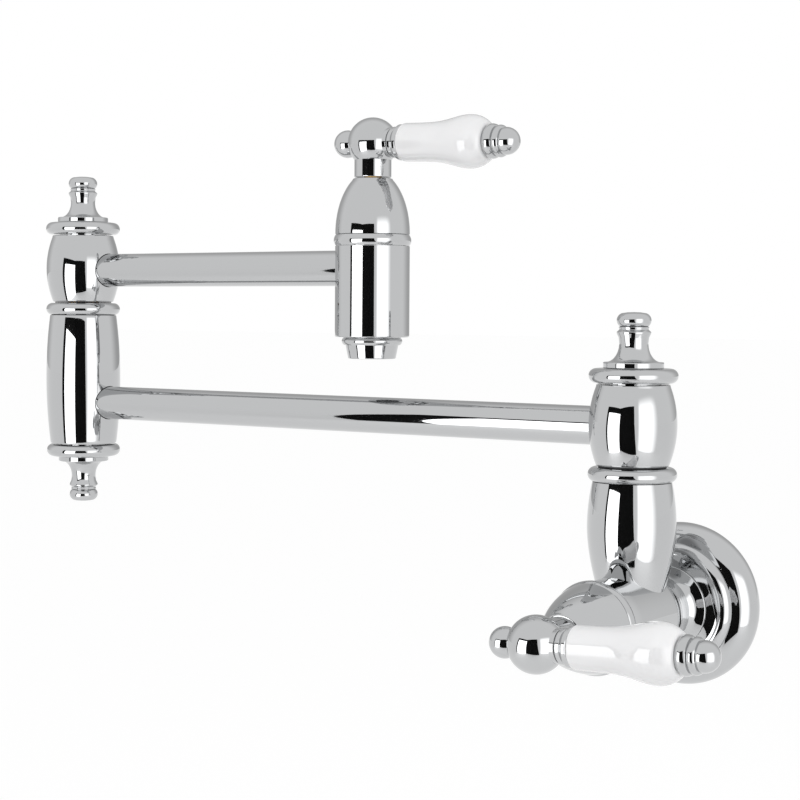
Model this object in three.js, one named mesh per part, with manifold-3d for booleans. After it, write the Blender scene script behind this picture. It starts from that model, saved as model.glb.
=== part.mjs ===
// Wall-mounted pot filler: a quarter-turn wall valve, a double-jointed swing arm and a second
// quarter-turn valve at the spout, each valve worked by a porcelain lever.
// Millimetres, +Z up. The origin is the middle of the wall flange's back face: the wall is the
// plane y = 0, the faucet stands out along -y, and the folded arm lies along -x.

import * as THREE from "three";
import { mergeVertices } from "three/addons/utils/BufferGeometryUtils.js";
import Module from "manifold-3d";

const wasm = await Module();
wasm.setup();

// ---------------------------------------------------------------- driving dimensions
// Overall
const RISER_OUT = 65;               // wall to the riser axis
const REACH_LOWER = 366;            // riser axis to elbow axis
const REACH_UPPER = 208.6;          // elbow axis to spout axis
const FOLD_ANGLE = 1;               // upper arm's turn towards the wall at rest, degrees
const RISER_RING_HEIGHT = 69.5;     // valve axis to the middle of the riser's fixed ring
const ELBOW_FOOT_HEIGHT = 63.7;     // valve axis to the middle of the elbow's lowest ring
const SPOUT_BEAD_HEIGHT = 14.6;     // upper arm's axis to the spout bonnet's bead
const SPOUT_FOOT_DROP = 36.5;       // upper arm's axis down to the spout body's lower end
const SPOUT_CLEARANCE = 20.175;     // lower arm tube to the aerator that folds over it

// Arm tubes: 3/4 in
const TUBE_OD = 19.05;
const TUBE_WALL = 1.2;

// Rings, barrels and finials of the columns
const RING_RADIUS = 21.5;
const RING_HEIGHT = 7.1;
const BARREL_FOOT_ROOM = 13.175;    // middle of the ring below to the arm tube
const BARREL_HEAD_ROOM = 15.175;    // arm tube to the middle of the ring above
const BARREL_END_RADIUS = 17.8;
const BARREL_MID_RADIUS = 21.3;
const ELBOW_END_RADIUS = 19.3;
const ELBOW_MID_RADIUS = 21.7;
const RISER_TOP_RADIUS = 19.2;
const RISER_MID_RADIUS = 21.5;
const RISER_MID_HEIGHT = 44;        // valve axis to the riser's widest place
const RISER_FOOT_RADIUS = 15.4;     // riser's radius where it meets the valve body
const RISER_FOOT_HEIGHT = 10.56;    // valve axis to the riser's foot, inside the valve body
const SWIVEL_SEAM = 0.8;            // open seam between a fixed ring and the barrel on it
const CAP_SEAM = 0.5;               // seam between a barrel and the ring that closes it

// Swivel posts and their seals
const JOURNAL_RADIUS = 9.3;
const POST_BORE = 6;
const POST_THREAD_RADIUS = 6.5;
const POST_PORT_RADIUS = 4.2;
const POST_DEPTH = 26;              // length of the post below the ring that it is screwed into
const CHAMBER_RADIUS = 12.8;
const HEAD_LAND = 3.4;              // height of a barrel's upper bearing land
const SEAL_SECTION = 1.1;
const NUT_HEIGHT = 2.6;
const NUT_CORNER = 10.8;
const THRUST_THICKNESS = 0.5;
const HEAD_WASHER_THICKNESS = 0.8;
const PLUG_RADIUS = 13.2;
const PLUG_DEPTH = 1.8;
const STUD_RADIUS = 3;              // stud that holds a finial on its ring
const STUD_LENGTH = 5;

// Finials, from the middle of the ring that they stand on
const FINIAL_BASE_RADIUS = 14.6;
const FINIAL_BASE_TOP = 6.6;
const FINIAL_NECK_RADIUS = 7;
const FINIAL_NECK_AT = 15.5;
const FINIAL_LIP_RADIUS = 8.2;
const FINIAL_LIP_AT = 21;
const FINIAL_BUTTON_RADIUS = 8.3;
const FINIAL_BUTTON_AT = 26.2;
const FINIAL_TOP = 30.6;

// Wall valve body and flange, distances measured out from the wall
const BODY_RADIUS = 21.4;
const BODY_BACK_RADIUS = 17.38;     // back end of the barrel, rounded off towards the neck
const BODY_BACK_OUT = 37;
const BODY_BACK_EDGE = 3;
const BODY_NECK_SECTION = 2.4;      // hollow of the neck behind that end
const BODY_FLARE_SECTION = 9;       // hollow curve from the neck to the collar on the flange
const BODY_COLLAR_RADIUS = 20.8;
const BODY_COLLAR_WIDTH = 1;
const WALL_BEAD_OUT = 102.3;
const SHANK_RADIUS = 14;
const SHANK_SETBACK = 2.6;          // wall to the inlet's end face
const INLET_RADIUS = 9.4;           // tapping size of the 1/2 in pipe thread
const INLET_DEPTH = 20;
const INLET_PORT_RADIUS = 5;
const SHANK_SPIGOT_RADIUS = 7.6;    // end of the shank that screws into the valve body
const SHANK_SPIGOT_LENGTH = 9;
const FLANGE_FRONT = 24.9;
const FLANGE_NECK_RADIUS = 20.8;
const FLANGE_BEAD_RADIUS = 30.9;    // middle circle of the outer bead
const FLANGE_BEAD_SECTION = 10.3;
const FLANGE_BEAD_OUT = 8.6;
const FLANGE_STEP_RADIUS = 26.9;    // middle circle of the inner bead
const FLANGE_STEP_SECTION = 5;
const FLANGE_STEP_OUT = 17.9;
const FLANGE_BOSS_DEPTH = 8;        // depth of the solid neck that carries the set screw
const GASKET_INNER = 29.6;
const GASKET_OUTER = 34.4;
const GASKET_THICKNESS = 1.4;

// Quarter-turn valves, alike, measured from the lever ball's centre down into the body
const BALL_RADIUS = 13.3;
const STEM_RADIUS = 4.6;
const STEM_TOP = 6;
const SPIGOT_AT = 46.5;             // body spigot's front face
const SPIGOT_RADIUS = 16.6;
const HEX_HEIGHT = 5;
const HEX_CORNER = 13;
const HOUSING_NECK_RADIUS = 8;
const HOUSING_TOP = 34;
const HOUSING_RADIUS = 9.6;
const SEAT_AT = 94;
const DISC_RADIUS = 8;
const DISC_THICKNESS = 3;
const DRIVE_THICKNESS = 2.2;        // stem's driving foot on the moving disc
const SEAL_THICKNESS = 2.4;
const SEAL_BORE = 5.2;
const WINDOW_WIDTH = 7;
const WINDOW_HEIGHT = 3.8;
const STEM_SEAL_AT = 62;
const STEM_SEAL_SECTION = 0.9;
const BEAD_HALF = 2.8;

// What differs between the two valves: the lever ball's distance from the bead, the bead, the dome
// (an ellipse turned about the axis), the hub's skirt, and how far the lever droops, in degrees
const WALL_TRIM = {
  ballOut: 51.7, bead: 22.4, side: 21.4, skirt: 20.9, droop: 0,
  domeRadius: 23.5, domeFoot: -19.8, domeReach: 55.6,
};
const SPOUT_TRIM = {
  ballOut: 51.3, bead: 20.5, side: 19.6, skirt: 18.3, droop: 1.9,
  domeRadius: 19.7, domeFoot: 3.6, domeReach: 33.5,
};
const SKIRT_RADIUS = 9.75;
const SKIRT_SEAM = 0.4;
const BONNET_WALL = 2.3;
const BONNET_TIP_DEPTH = 4;

// Spout and aerator
const SPOUT_RADIUS = 19.75;
const SPOUT_CHAMBER_FOOT = 21;      // upper arm's axis down to the foot of the water chamber
const OUTLET_PORT_RADIUS = 5.5;
const AERATOR_THREAD_RADIUS = 10.7;
const AERATOR_RECESS = 6;
const AERATOR_RING_RADIUS = 16.1;
const AERATOR_RING_HEIGHT = 4;
const AERATOR_TOP_RADIUS = 14;
const AERATOR_TIP_RADIUS = 12.6;
const AERATOR_LENGTH = 11.4;
const AERATOR_BORE = 8.8;
const AERATOR_LIP_BORE = 7.6;
const AERATOR_GASKET_THICKNESS = 1.5;
const INSERT_BORE = 3;
const SCREEN_THICKNESS = 0.6;

// Levers, distances measured from the ball's centre along the lever
const LEVER_TILT = 2.75;             // upward tilt of the wall lever, degrees
const KNOB_RADIUS = 7.3;
const KNOB_AT = 16.2;
const KNOB_NECK = 4.8;
const BOSS_RADIUS = 7.8;
const BOSS_END = 13;
const COLLAR_SMALL_RADIUS = 8.2;
const COLLAR_SMALL_END = 16.4;
const COLLAR_LARGE_RADIUS = 9.4;
const SLEEVE_START = 20.1;
const SLEEVE_END = 71.2;
const SLEEVE_EDGE = 1.2;
const SLEEVE_WAIST = 10;
const SLEEVE_BELLY = 13.8;
const SLEEVE_BELLY_AT = 61;
const SLEEVE_FADE = 14;             // length over which the belly fades into the waist
const SLEEVE_ROUND = 13.9;          // half-axis of the ellipse that rounds the belly off
const SLEEVE_BORE = 4.6;
const CAP_RING_LARGE = 8.9;
const CAP_RING_LARGE_WIDTH = 5;
const CAP_RING_SMALL = 8.2;
const CAP_RING_SMALL_WIDTH = 3.9;
const CAP_GROOVE = 6.6;
const NOSE_RADIUS = 7;
const NOSE_AT = 81.8;
const ROD_RADIUS = 3;
const ROD_START = 5;
const ROD_END = 84;
const GRUB_RADIUS = 2;
const GRUB_SOCKET = 1;

// Sizes that follow from those above: an arm's axis above the ring that its barrel turns on, ring to
// ring across a swivel barrel, and valve axis to the middle of the elbow's fixed ring
const ARM_ABOVE_RING = BARREL_FOOT_ROOM + TUBE_OD / 2;
const SWIVEL_PITCH = ARM_ABOVE_RING + TUBE_OD / 2 + BARREL_HEAD_ROOM;
const ARM_SPACING = TUBE_OD / 2 + SPOUT_CLEARANCE + AERATOR_LENGTH + SPOUT_FOOT_DROP;
const ELBOW_RING_HEIGHT = RISER_RING_HEIGHT + ARM_SPACING;

// Clearances
const FIT = 0.3;                    // between a piece and the bore or recess that it sits in
const RUNNING = 0.25;               // between surfaces that turn on each other
const FACE = 0.15;                  // between flat faces that bear on each other
const SQUEEZE = 0.15;               // left round a rubber ring in its groove

// Facets round a turned piece
const FINE = 20;
const MEDIUM = 16;
const COARSE = 12;
const SMALL = 8;

// ---------------------------------------------------------------- finishes
const CHROME = { color: 0xc9cbcc, roughness: 0.08, metalness: 1 };
const BRASS = { color: 0xb08d4c, roughness: 0.35, metalness: 1 };
const STEEL = { color: 0x9a9c9e, roughness: 0.3, metalness: 1 };
const PORCELAIN = { color: 0xf4f4f2, roughness: 0.08, metalness: 0 };
const CERAMIC = { color: 0xe9e6dc, roughness: 0.25, metalness: 0 };
const RUBBER = { color: 0x1c1c1c, roughness: 0.7, metalness: 0 };
const NYLON = { color: 0x26262a, roughness: 0.5, metalness: 0 };

// ---------------------------------------------------------------- building blocks
const radians = THREE.MathUtils.degToRad;

// A piece turned about +z from [radius, height] pairs that run upwards on the outside. They
// start and end on the axis.
function turned(profile, segments) {
  const points = profile.map(([radius, height]) => new THREE.Vector2(radius, height));
  return new THREE.LatheGeometry(points, segments).rotateX(Math.PI / 2);
}

// A turned ring, whose profile is a loop clear of the axis.
function turnedRing(profile, segments) {
  return turned([...profile, profile[0]], segments);
}

// Points of a profile on a circular arc, angles in degrees.
function arc(radius, height, size, from, to, steps) {
  const points = [];
  for (let i = 0; i <= steps; i += 1) {
    const angle = radians(from + ((to - from) * i) / steps);
    points.push([radius + size * Math.cos(angle), height + size * Math.sin(angle)]);
  }
  return points;
}

// Points of a profile whose radius is a function of the height.
function sweep(from, to, steps, radiusAt) {
  const points = [];
  for (let i = 0; i <= steps; i += 1) {
    const height = from + ((to - from) * i) / steps;
    points.push([radiusAt(height), height]);
  }
  return points;
}

// A barrel's bulging side, widest at middle.
function bulge(from, to, middle, midRadius, endRadius, steps) {
  const reach = Math.max(middle - from, to - middle);
  return sweep(from, to, steps, (z) => {
    return midRadius - (midRadius - endRadius) * ((z - middle) / reach) ** 2;
  });
}

// A straight-sided washer or sleeve.
function washer(inner, outer, from, to, segments) {
  return turnedRing([[inner, from], [outer, from], [outer, to], [inner, to]], segments);
}

// A rubber ring of round section.
function sealRing(radius, height, section) {
  return turnedRing(arc(radius, height, section, 0, 300, 5), COARSE);
}

// A round cutter along +z.
function drill(radius, from, to, segments) {
  return turned([[0, from], [radius, from], [radius, to], [0, to]], segments);
}

// A cutter along +x.
function crossDrill(radius, from, to, segments) {
  return drill(radius, from, to, segments).rotateY(Math.PI / 2);
}

// A hexagonal prism standing on a height.
function hexagon(corner, from, height, bore = 0) {
  const outline = new THREE.Shape();
  outline.moveTo(corner, 0);
  for (let i = 1; i < 6; i += 1) {
    outline.lineTo(corner * Math.cos(radians(60 * i)), corner * Math.sin(radians(60 * i)));
  }
  outline.closePath();
  if (bore > 0) {
    outline.holes.push(new THREE.Path().absarc(0, 0, bore, 0, 2 * Math.PI, true));
  }
  const settings = { depth: height, bevelEnabled: false, curveSegments: COARSE };
  return new THREE.ExtrudeGeometry(outline, settings).translate(0, 0, from);
}

// A geometry as a solid that can be joined and cut.
function solidOf(geometry) {
  const bare = geometry.clone();
  bare.deleteAttribute("normal");
  bare.deleteAttribute("uv");
  const merged = mergeVertices(bare, 1e-4);
  return new wasm.Manifold(new wasm.Mesh({
    numProp: 3,
    vertProperties: new Float32Array(merged.attributes.position.array),
    triVerts: new Uint32Array(merged.index.array),
  }));
}

// Several geometries joined into one, with others cut away from it.
function carved(joined, cut) {
  let solid = solidOf(joined[0]);
  for (const geometry of joined.slice(1)) {
    solid = solid.add(solidOf(geometry));
  }
  for (const geometry of cut) {
    solid = solid.subtract(solidOf(geometry));
  }
  const mesh = solid.getMesh();
  const result = new THREE.BufferGeometry();
  const positions = new Float32Array(mesh.vertProperties);
  result.setAttribute("position", new THREE.BufferAttribute(positions, 3));
  result.setIndex(new THREE.BufferAttribute(new Uint32Array(mesh.triVerts), 1));
  result.computeVertexNormals();
  return result;
}

// Puts a named piece in a group.
function place(group, name, geometry, finish) {
  const mesh = new THREE.Mesh(geometry, new THREE.MeshStandardMaterial(finish));
  mesh.name = name;
  group.add(mesh);
}

// A child frame at a position, turned about one axis.
function frame(parent, [x, y, z], axis = "z", angle = 0) {
  const group = new THREE.Group();
  group.position.set(x, y, z);
  group.rotation[axis] = angle;
  parent.add(group);
  return group;
}

// ---------------------------------------------------------------- frames of the assembly
const halfRing = RING_HEIGHT / 2;
const tubeHole = TUBE_OD / 2 + FIT;
const journalBore = JOURNAL_RADIUS + RUNNING;
const postSocket = JOURNAL_RADIUS + FIT;
const sealCircle = journalBore - SEAL_SECTION - SQUEEZE;
const lowerArmHeight = RISER_RING_HEIGHT + ARM_ABOVE_RING;
const upperArmHeight = ELBOW_RING_HEIGHT + ARM_ABOVE_RING;

const potFiller = new THREE.Group();
// Along the valve axis: +z runs out from the wall.
const wallAxis = frame(potFiller, [0, 0, 0], "x", Math.PI / 2);
const riserAxis = frame(potFiller, [0, -RISER_OUT, 0]);
const elbowAxis = frame(potFiller, [-REACH_LOWER, -RISER_OUT, 0]);
// Along the upper arm: +x runs from the elbow to the spout, at the arm's height.
const upperArm = frame(elbowAxis, [0, 0, upperArmHeight], "z", radians(FOLD_ANGLE));
const spoutAxis = frame(upperArm, [REACH_UPPER, 0, 0]);

// ---------------------------------------------------------------- swivel columns
// Round outer edge of a ring, from its lower to its upper face.
function ringEdge(middle) {
  return arc(RING_RADIUS - halfRing, middle, halfRing, -90, 90, 4);
}

// The ring that closes a barrel, with a plug that screws into it. side is 1 above, -1 below.
function capRing(middle, side) {
  const profile = [
    [0, -halfRing - CAP_SEAM - PLUG_DEPTH],
    [PLUG_RADIUS, -halfRing - CAP_SEAM - PLUG_DEPTH],
    [PLUG_RADIUS, -halfRing],
    ...ringEdge(0),
    [STUD_RADIUS + FIT, halfRing],
    [STUD_RADIUS + FIT, halfRing - STUD_LENGTH - FIT],
    [0, halfRing - STUD_LENGTH - FIT],
  ];
  const ring = turned(profile, FINE);
  if (side < 0) {
    ring.rotateX(Math.PI);
  }
  return ring.translate(0, 0, middle);
}

// The turned finial on a ring: a disc, a concave flare, a lip and a button, with a stud below.
function finial(middle, side) {
  const flareHeight = FINIAL_NECK_AT - FINIAL_BASE_TOP;
  const flareWidth = FINIAL_BASE_RADIUS - FINIAL_NECK_RADIUS - 1.2;
  const flare = [];
  for (const angle of [270, 247, 225, 203, 180]) {
    const across = Math.cos(radians(angle)) + 1;
    const up = Math.sin(radians(angle)) + 1;
    flare.push([FINIAL_NECK_RADIUS + flareWidth * across, FINIAL_BASE_TOP + flareHeight * up]);
  }
  const profile = [
    [0, halfRing + FACE - STUD_LENGTH],
    [STUD_RADIUS, halfRing + FACE - STUD_LENGTH],
    [STUD_RADIUS, halfRing + FACE],
    [FINIAL_BASE_RADIUS, halfRing + FACE],
    [FINIAL_BASE_RADIUS, FINIAL_BASE_TOP],
    ...flare,
    [FINIAL_LIP_RADIUS, FINIAL_LIP_AT],
    [FINIAL_NECK_RADIUS, FINIAL_LIP_AT + 1.2],
    [FINIAL_NECK_RADIUS + 0.4, FINIAL_BUTTON_AT - 2.6],
    [FINIAL_BUTTON_RADIUS, FINIAL_BUTTON_AT],
    [FINIAL_BUTTON_RADIUS - 1, FINIAL_BUTTON_AT + 2.4],
    [FINIAL_BUTTON_RADIUS - 4, FINIAL_TOP],
    [0, FINIAL_TOP],
  ];
  const turnedFinial = turned(profile, MEDIUM);
  if (side < 0) {
    turnedFinial.rotateX(Math.PI);
  }
  return turnedFinial.translate(0, 0, middle);
}

// Heights inside a swivel, worked out from the ring that it stands on.
function swivelHeights(ring) {
  const foot = ring + halfRing + SWIVEL_SEAM;
  const arm = ring + ARM_ABOVE_RING;
  const chamberFoot = arm - tubeHole - FIT;
  const chamberHead = arm + tubeHole + FIT;
  const landHead = chamberHead + HEAD_LAND;
  const head = ring + SWIVEL_PITCH - halfRing - CAP_SEAM;
  return { foot, arm, chamberFoot, chamberHead, landHead, head };
}

// The barrel that turns on a post: bearing lands round a water chamber, a side hole for the arm
// tube, and a counterbore above for the nut and the cap ring's plug. side is where the arm goes,
// 1 towards +x and -1 towards -x.
function swivelBarrel(ring, side) {
  const { foot, arm, chamberFoot, chamberHead, landHead, head } = swivelHeights(ring);
  const edge = 0.6;
  const middle = ring + SWIVEL_PITCH / 2;
  const shell = turnedRing([
    [journalBore, foot],
    [BARREL_END_RADIUS - edge, foot],
    ...bulge(foot + edge, head - edge, middle, BARREL_MID_RADIUS, BARREL_END_RADIUS, 6),
    [BARREL_END_RADIUS - edge, head],
    [PLUG_RADIUS + FIT, head],
    [PLUG_RADIUS + FIT, landHead],
    [journalBore, landHead],
    [journalBore, chamberHead],
    [CHAMBER_RADIUS, chamberHead],
    [CHAMBER_RADIUS, chamberFoot],
    [journalBore, chamberFoot],
  ], FINE);
  return carved([shell], [sideHole(side, BARREL_MID_RADIUS, arm)]);
}

// A cutter for an arm tube's hole through one side of a column.
function sideHole(side, columnRadius, height) {
  const ends = [side * JOURNAL_RADIUS, side * 2 * columnRadius].sort((a, b) => a - b);
  return crossDrill(tubeHole, ends[0], ends[1], MEDIUM).translate(0, 0, height);
}

// The hollow post that a barrel turns on. Two grooves hold its seals, and four ports let the
// water out into the barrel's chamber.
function post(ring, footSealAt, headSealAt) {
  const { arm, landHead } = swivelHeights(ring);
  const shoulder = landHead + FACE;
  const top = shoulder + FACE + HEAD_WASHER_THICKNESS + FACE + NUT_HEIGHT + FACE;
  const foot = ring + halfRing - POST_DEPTH;
  const floor = sealCircle - SEAL_SECTION - SQUEEZE;
  const half = SEAL_SECTION + SQUEEZE;
  const groove = (at) => [
    [JOURNAL_RADIUS, at - half],
    [floor, at - half],
    [floor, at + half],
    [JOURNAL_RADIUS, at + half],
  ];
  const shaft = turned([
    [0, arm + POST_BORE],
    [POST_BORE, arm + POST_PORT_RADIUS],
    [POST_BORE, foot],
    [JOURNAL_RADIUS, foot],
    ...groove(footSealAt),
    ...groove(headSealAt),
    [JOURNAL_RADIUS, shoulder],
    [POST_THREAD_RADIUS, shoulder],
    [POST_THREAD_RADIUS, top],
    [0, top],
  ], COARSE);
  const port = crossDrill(POST_PORT_RADIUS, -2 * JOURNAL_RADIUS, 2 * JOURNAL_RADIUS, SMALL);
  const across = port.clone().rotateZ(Math.PI / 2);
  return carved([shaft], [port.translate(0, 0, arm), across.translate(0, 0, arm)]);
}

// Everything inside a swivel: post, seals, washers and the nut that keeps the barrel on.
function swivelCore(axis, prefix, ring) {
  const { foot, chamberFoot, chamberHead, landHead } = swivelHeights(ring);
  const footSealAt = (foot + chamberFoot) / 2;
  const headSealAt = (chamberHead + landHead) / 2;
  place(axis, `${prefix}_post`, post(ring, footSealAt, headSealAt), BRASS);
  place(axis, `${prefix}_foot_seal`, sealRing(sealCircle, footSealAt, SEAL_SECTION), RUBBER);
  place(axis, `${prefix}_head_seal`, sealRing(sealCircle, headSealAt, SEAL_SECTION), RUBBER);
  const thrustFoot = ring + halfRing + FACE;
  const thrustRadius = BARREL_END_RADIUS - 1.4;
  const thrustHead = thrustFoot + THRUST_THICKNESS;
  const thrust = washer(postSocket, thrustRadius, thrustFoot, thrustHead, MEDIUM);
  place(axis, `${prefix}_thrust_washer`, thrust, NYLON);
  const washerFoot = landHead + 2 * FACE;
  const washerHead = washerFoot + HEAD_WASHER_THICKNESS;
  const washerBore = POST_THREAD_RADIUS + FIT;
  const headWasher = washer(washerBore, NUT_CORNER + 1, washerFoot, washerHead, COARSE);
  place(axis, `${prefix}_head_washer`, headWasher, NYLON);
  const nut = hexagon(NUT_CORNER, washerHead + FACE, NUT_HEIGHT, washerBore);
  place(axis, `${prefix}_nut`, nut, STEEL);
}

function swivelTrim(axis, prefix, ring) {
  const cap = ring + SWIVEL_PITCH;
  place(axis, `${prefix}_cap_ring`, capRing(cap, 1), CHROME);
  place(axis, `${prefix}_finial`, finial(cap, 1), CHROME);
}

// ---------------------------------------------------------------- fixed body on the wall
// The wall flange: an outer and an inner bead, and a solid neck that carries its set screw.
function wallFlange() {
  const shankBore = SHANK_RADIUS + FIT;
  const bossBack = FLANGE_FRONT - FLANGE_BOSS_DEPTH;
  const rimTurn = THREE.MathUtils.radToDeg(Math.asin(FLANGE_BEAD_OUT / FLANGE_BEAD_SECTION));
  const rim = FLANGE_BEAD_RADIUS + FLANGE_BEAD_SECTION * Math.cos(radians(rimTurn));
  const recessFloor = GASKET_THICKNESS + FIT;
  const shell = turnedRing([
    [GASKET_OUTER + FIT, 0],
    [rim - 0.6, 0],
    ...arc(FLANGE_BEAD_RADIUS, FLANGE_BEAD_OUT, FLANGE_BEAD_SECTION, 3 - rimTurn, 83, 7),
    ...arc(FLANGE_STEP_RADIUS, FLANGE_STEP_OUT, FLANGE_STEP_SECTION, 11, 100, 4),
    [FLANGE_NECK_RADIUS, FLANGE_FRONT - 0.1],
    [FLANGE_NECK_RADIUS - 0.4, FLANGE_FRONT],
    [shankBore, FLANGE_FRONT],
    [shankBore, bossBack],
    [FLANGE_NECK_RADIUS - 2, bossBack],
    [GASKET_INNER - 4, FLANGE_BEAD_OUT + 2],
    [GASKET_INNER - 1.6, FLANGE_BEAD_OUT - 3],
    [GASKET_INNER - 1.6, recessFloor],
    [GASKET_OUTER + FIT, recessFloor],
  ], FINE);
  const screwAt = FLANGE_FRONT - FLANGE_BOSS_DEPTH / 2;
  const holeEnd = FLANGE_STEP_RADIUS + FLANGE_STEP_SECTION + 1;
  const hole = crossDrill(GRUB_RADIUS + FIT, SHANK_RADIUS - 1, holeEnd, SMALL);
  return carved([shell], [hole.rotateZ(-Math.PI / 2).translate(0, 0, screwAt)]);
}

// A grub screw along +x with a drive socket in its outer end.
function grubScrew(from, to) {
  return turned([
    [0, from],
    [GRUB_RADIUS, from],
    [GRUB_RADIUS, to],
    [GRUB_SOCKET, to],
    [GRUB_SOCKET, to - 2],
    [0, to - 2],
  ], SMALL).rotateY(Math.PI / 2);
}

const bead = WALL_BEAD_OUT;
const wallBall = bead + WALL_TRIM.ballOut;
const riserHead = RISER_RING_HEIGHT + halfRing;
const shankHead = FLANGE_FRONT + FIT - FACE + SHANK_SPIGOT_LENGTH;

// The valve body: a waisted horizontal barrel and the riser's vertical barrel, cast as one.
function valveBody() {
  const shoulder = bead - BEAD_HALF - FACE;
  const collarHead = FLANGE_FRONT + FIT + BODY_COLLAR_WIDTH;
  const flareRadius = BODY_COLLAR_RADIUS + 0.4;
  const flareOut = collarHead + BODY_FLARE_SECTION + 0.6;
  const into = BODY_FLARE_SECTION - BODY_NECK_SECTION;
  const neckRadius = flareRadius - into * Math.cos(radians(35));
  const neckOut = flareOut - into * Math.sin(radians(35));
  const edgeRadius = BODY_BACK_RADIUS - BODY_BACK_EDGE;
  const swell = BODY_RADIUS - BODY_BACK_RADIUS;
  const swellEnd = RISER_OUT - RISER_FOOT_RADIUS + 8;
  const swellReach = swellEnd - BODY_BACK_OUT;
  const waist = sweep(BODY_BACK_OUT, swellEnd, 4, (z) => {
    const rise = 0.5 - 0.5 * Math.cos((Math.PI * (z - BODY_BACK_OUT)) / swellReach);
    return BODY_BACK_RADIUS + swell * rise;
  });
  const barrel = turned([
    [0, FLANGE_FRONT + FIT],
    [BODY_COLLAR_RADIUS, FLANGE_FRONT + FIT],
    [BODY_COLLAR_RADIUS, collarHead],
    ...arc(flareRadius, flareOut, BODY_FLARE_SECTION, 248, 215, 2),
    ...arc(neckRadius, neckOut, BODY_NECK_SECTION, 190, 105, 3),
    ...arc(edgeRadius, BODY_BACK_OUT + 0.2, BODY_BACK_EDGE, -75, -4, 2),
    ...waist.slice(1),
    [BODY_RADIUS, shoulder - 4],
    [BODY_RADIUS - 0.4, shoulder],
    [SPIGOT_RADIUS, shoulder],
    [SPIGOT_RADIUS, wallBall - SPIGOT_AT],
    [0, wallBall - SPIGOT_AT],
  ], FINE);
  // The riser in the valve body's own frame, where up is +y and out from the wall is +z.
  const riserFoot = RISER_FOOT_HEIGHT;
  const neckAt = RISER_RING_HEIGHT - halfRing;
  const lowerSide = sweep(riserFoot, RISER_MID_HEIGHT, 5, (z) => {
    const part = (RISER_MID_HEIGHT - z) / (RISER_MID_HEIGHT - riserFoot);
    return RISER_MID_RADIUS - (RISER_MID_RADIUS - RISER_FOOT_RADIUS) * part ** 1.7;
  });
  const middle = RISER_MID_HEIGHT;
  const upperSide = bulge(middle, neckAt, middle, RISER_MID_RADIUS, RISER_TOP_RADIUS, 3);
  const riser = turned([
    [0, riserFoot],
    ...lowerSide,
    ...upperSide.slice(1),
    ...ringEdge(RISER_RING_HEIGHT),
    [0, riserHead],
  ], FINE).rotateX(-Math.PI / 2).translate(0, 0, RISER_OUT);
  const cartridgeBore = drill(HOUSING_RADIUS + FIT, wallBall - SEAT_AT, wallBall, MEDIUM);
  const port = drill(INLET_PORT_RADIUS, FLANGE_FRONT, wallBall - SEAT_AT + 1, SMALL);
  const shankSocket = drill(SHANK_SPIGOT_RADIUS + FIT, 0, shankHead + FACE, MEDIUM);
  const socketFoot = riserHead - POST_DEPTH - FACE;
  const socket = drill(postSocket, socketFoot, riserHead + 1, COARSE);
  const rise = drill(POST_BORE, HOUSING_RADIUS / 2, socketFoot + 1, COARSE);
  const standing = [socket, rise].map((cut) => cut.rotateX(-Math.PI / 2).translate(0, 0, RISER_OUT));
  return carved([barrel, riser], [cartridgeBore, port, shankSocket, ...standing]);
}

// A thin round plate with a ring of holes round a middle one.
function strainer(radius, from, to) {
  const holes = [drill(radius / 6, from - 1, to + 1, 6)];
  for (let i = 0; i < 6; i += 1) {
    const hole = drill(radius / 6, from - 1, to + 1, 6).translate(radius * 0.55, 0, 0);
    holes.push(hole.rotateZ(radians(60 * i)));
  }
  return carved([drill(radius, from, to, COARSE)], holes);
}

// The inlet shank: a short tailpiece, threaded inside for the wall's pipe nipple and outside to
// screw into the valve body. The flange slides on it.
function inletShank() {
  const shoulder = FLANGE_FRONT + FIT - FACE;
  const inletFloor = SHANK_SETBACK + INLET_DEPTH;
  return turnedRing([
    [INLET_RADIUS, SHANK_SETBACK],
    [SHANK_RADIUS, SHANK_SETBACK],
    [SHANK_RADIUS, shoulder],
    [SHANK_SPIGOT_RADIUS, shoulder],
    [SHANK_SPIGOT_RADIUS, shankHead],
    [INLET_PORT_RADIUS, shankHead],
    [INLET_PORT_RADIUS, inletFloor],
    [INLET_RADIUS, inletFloor],
  ], MEDIUM);
}

place(wallAxis, "valve_body", valveBody(), CHROME);
place(wallAxis, "inlet_shank", inletShank(), BRASS);
place(wallAxis, "wall_flange", wallFlange(), CHROME);
place(wallAxis, "flange_gasket", washer(GASKET_INNER, GASKET_OUTER, 0, GASKET_THICKNESS, FINE), RUBBER);
const flangeScrew = grubScrew(SHANK_RADIUS + FACE, FLANGE_STEP_RADIUS).rotateZ(-Math.PI / 2);
const flangeScrewAt = FLANGE_FRONT - FLANGE_BOSS_DEPTH / 2;
place(wallAxis, "flange_set_screw", flangeScrew.translate(0, 0, flangeScrewAt), STEEL);
swivelCore(riserAxis, "riser", RISER_RING_HEIGHT);

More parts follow.
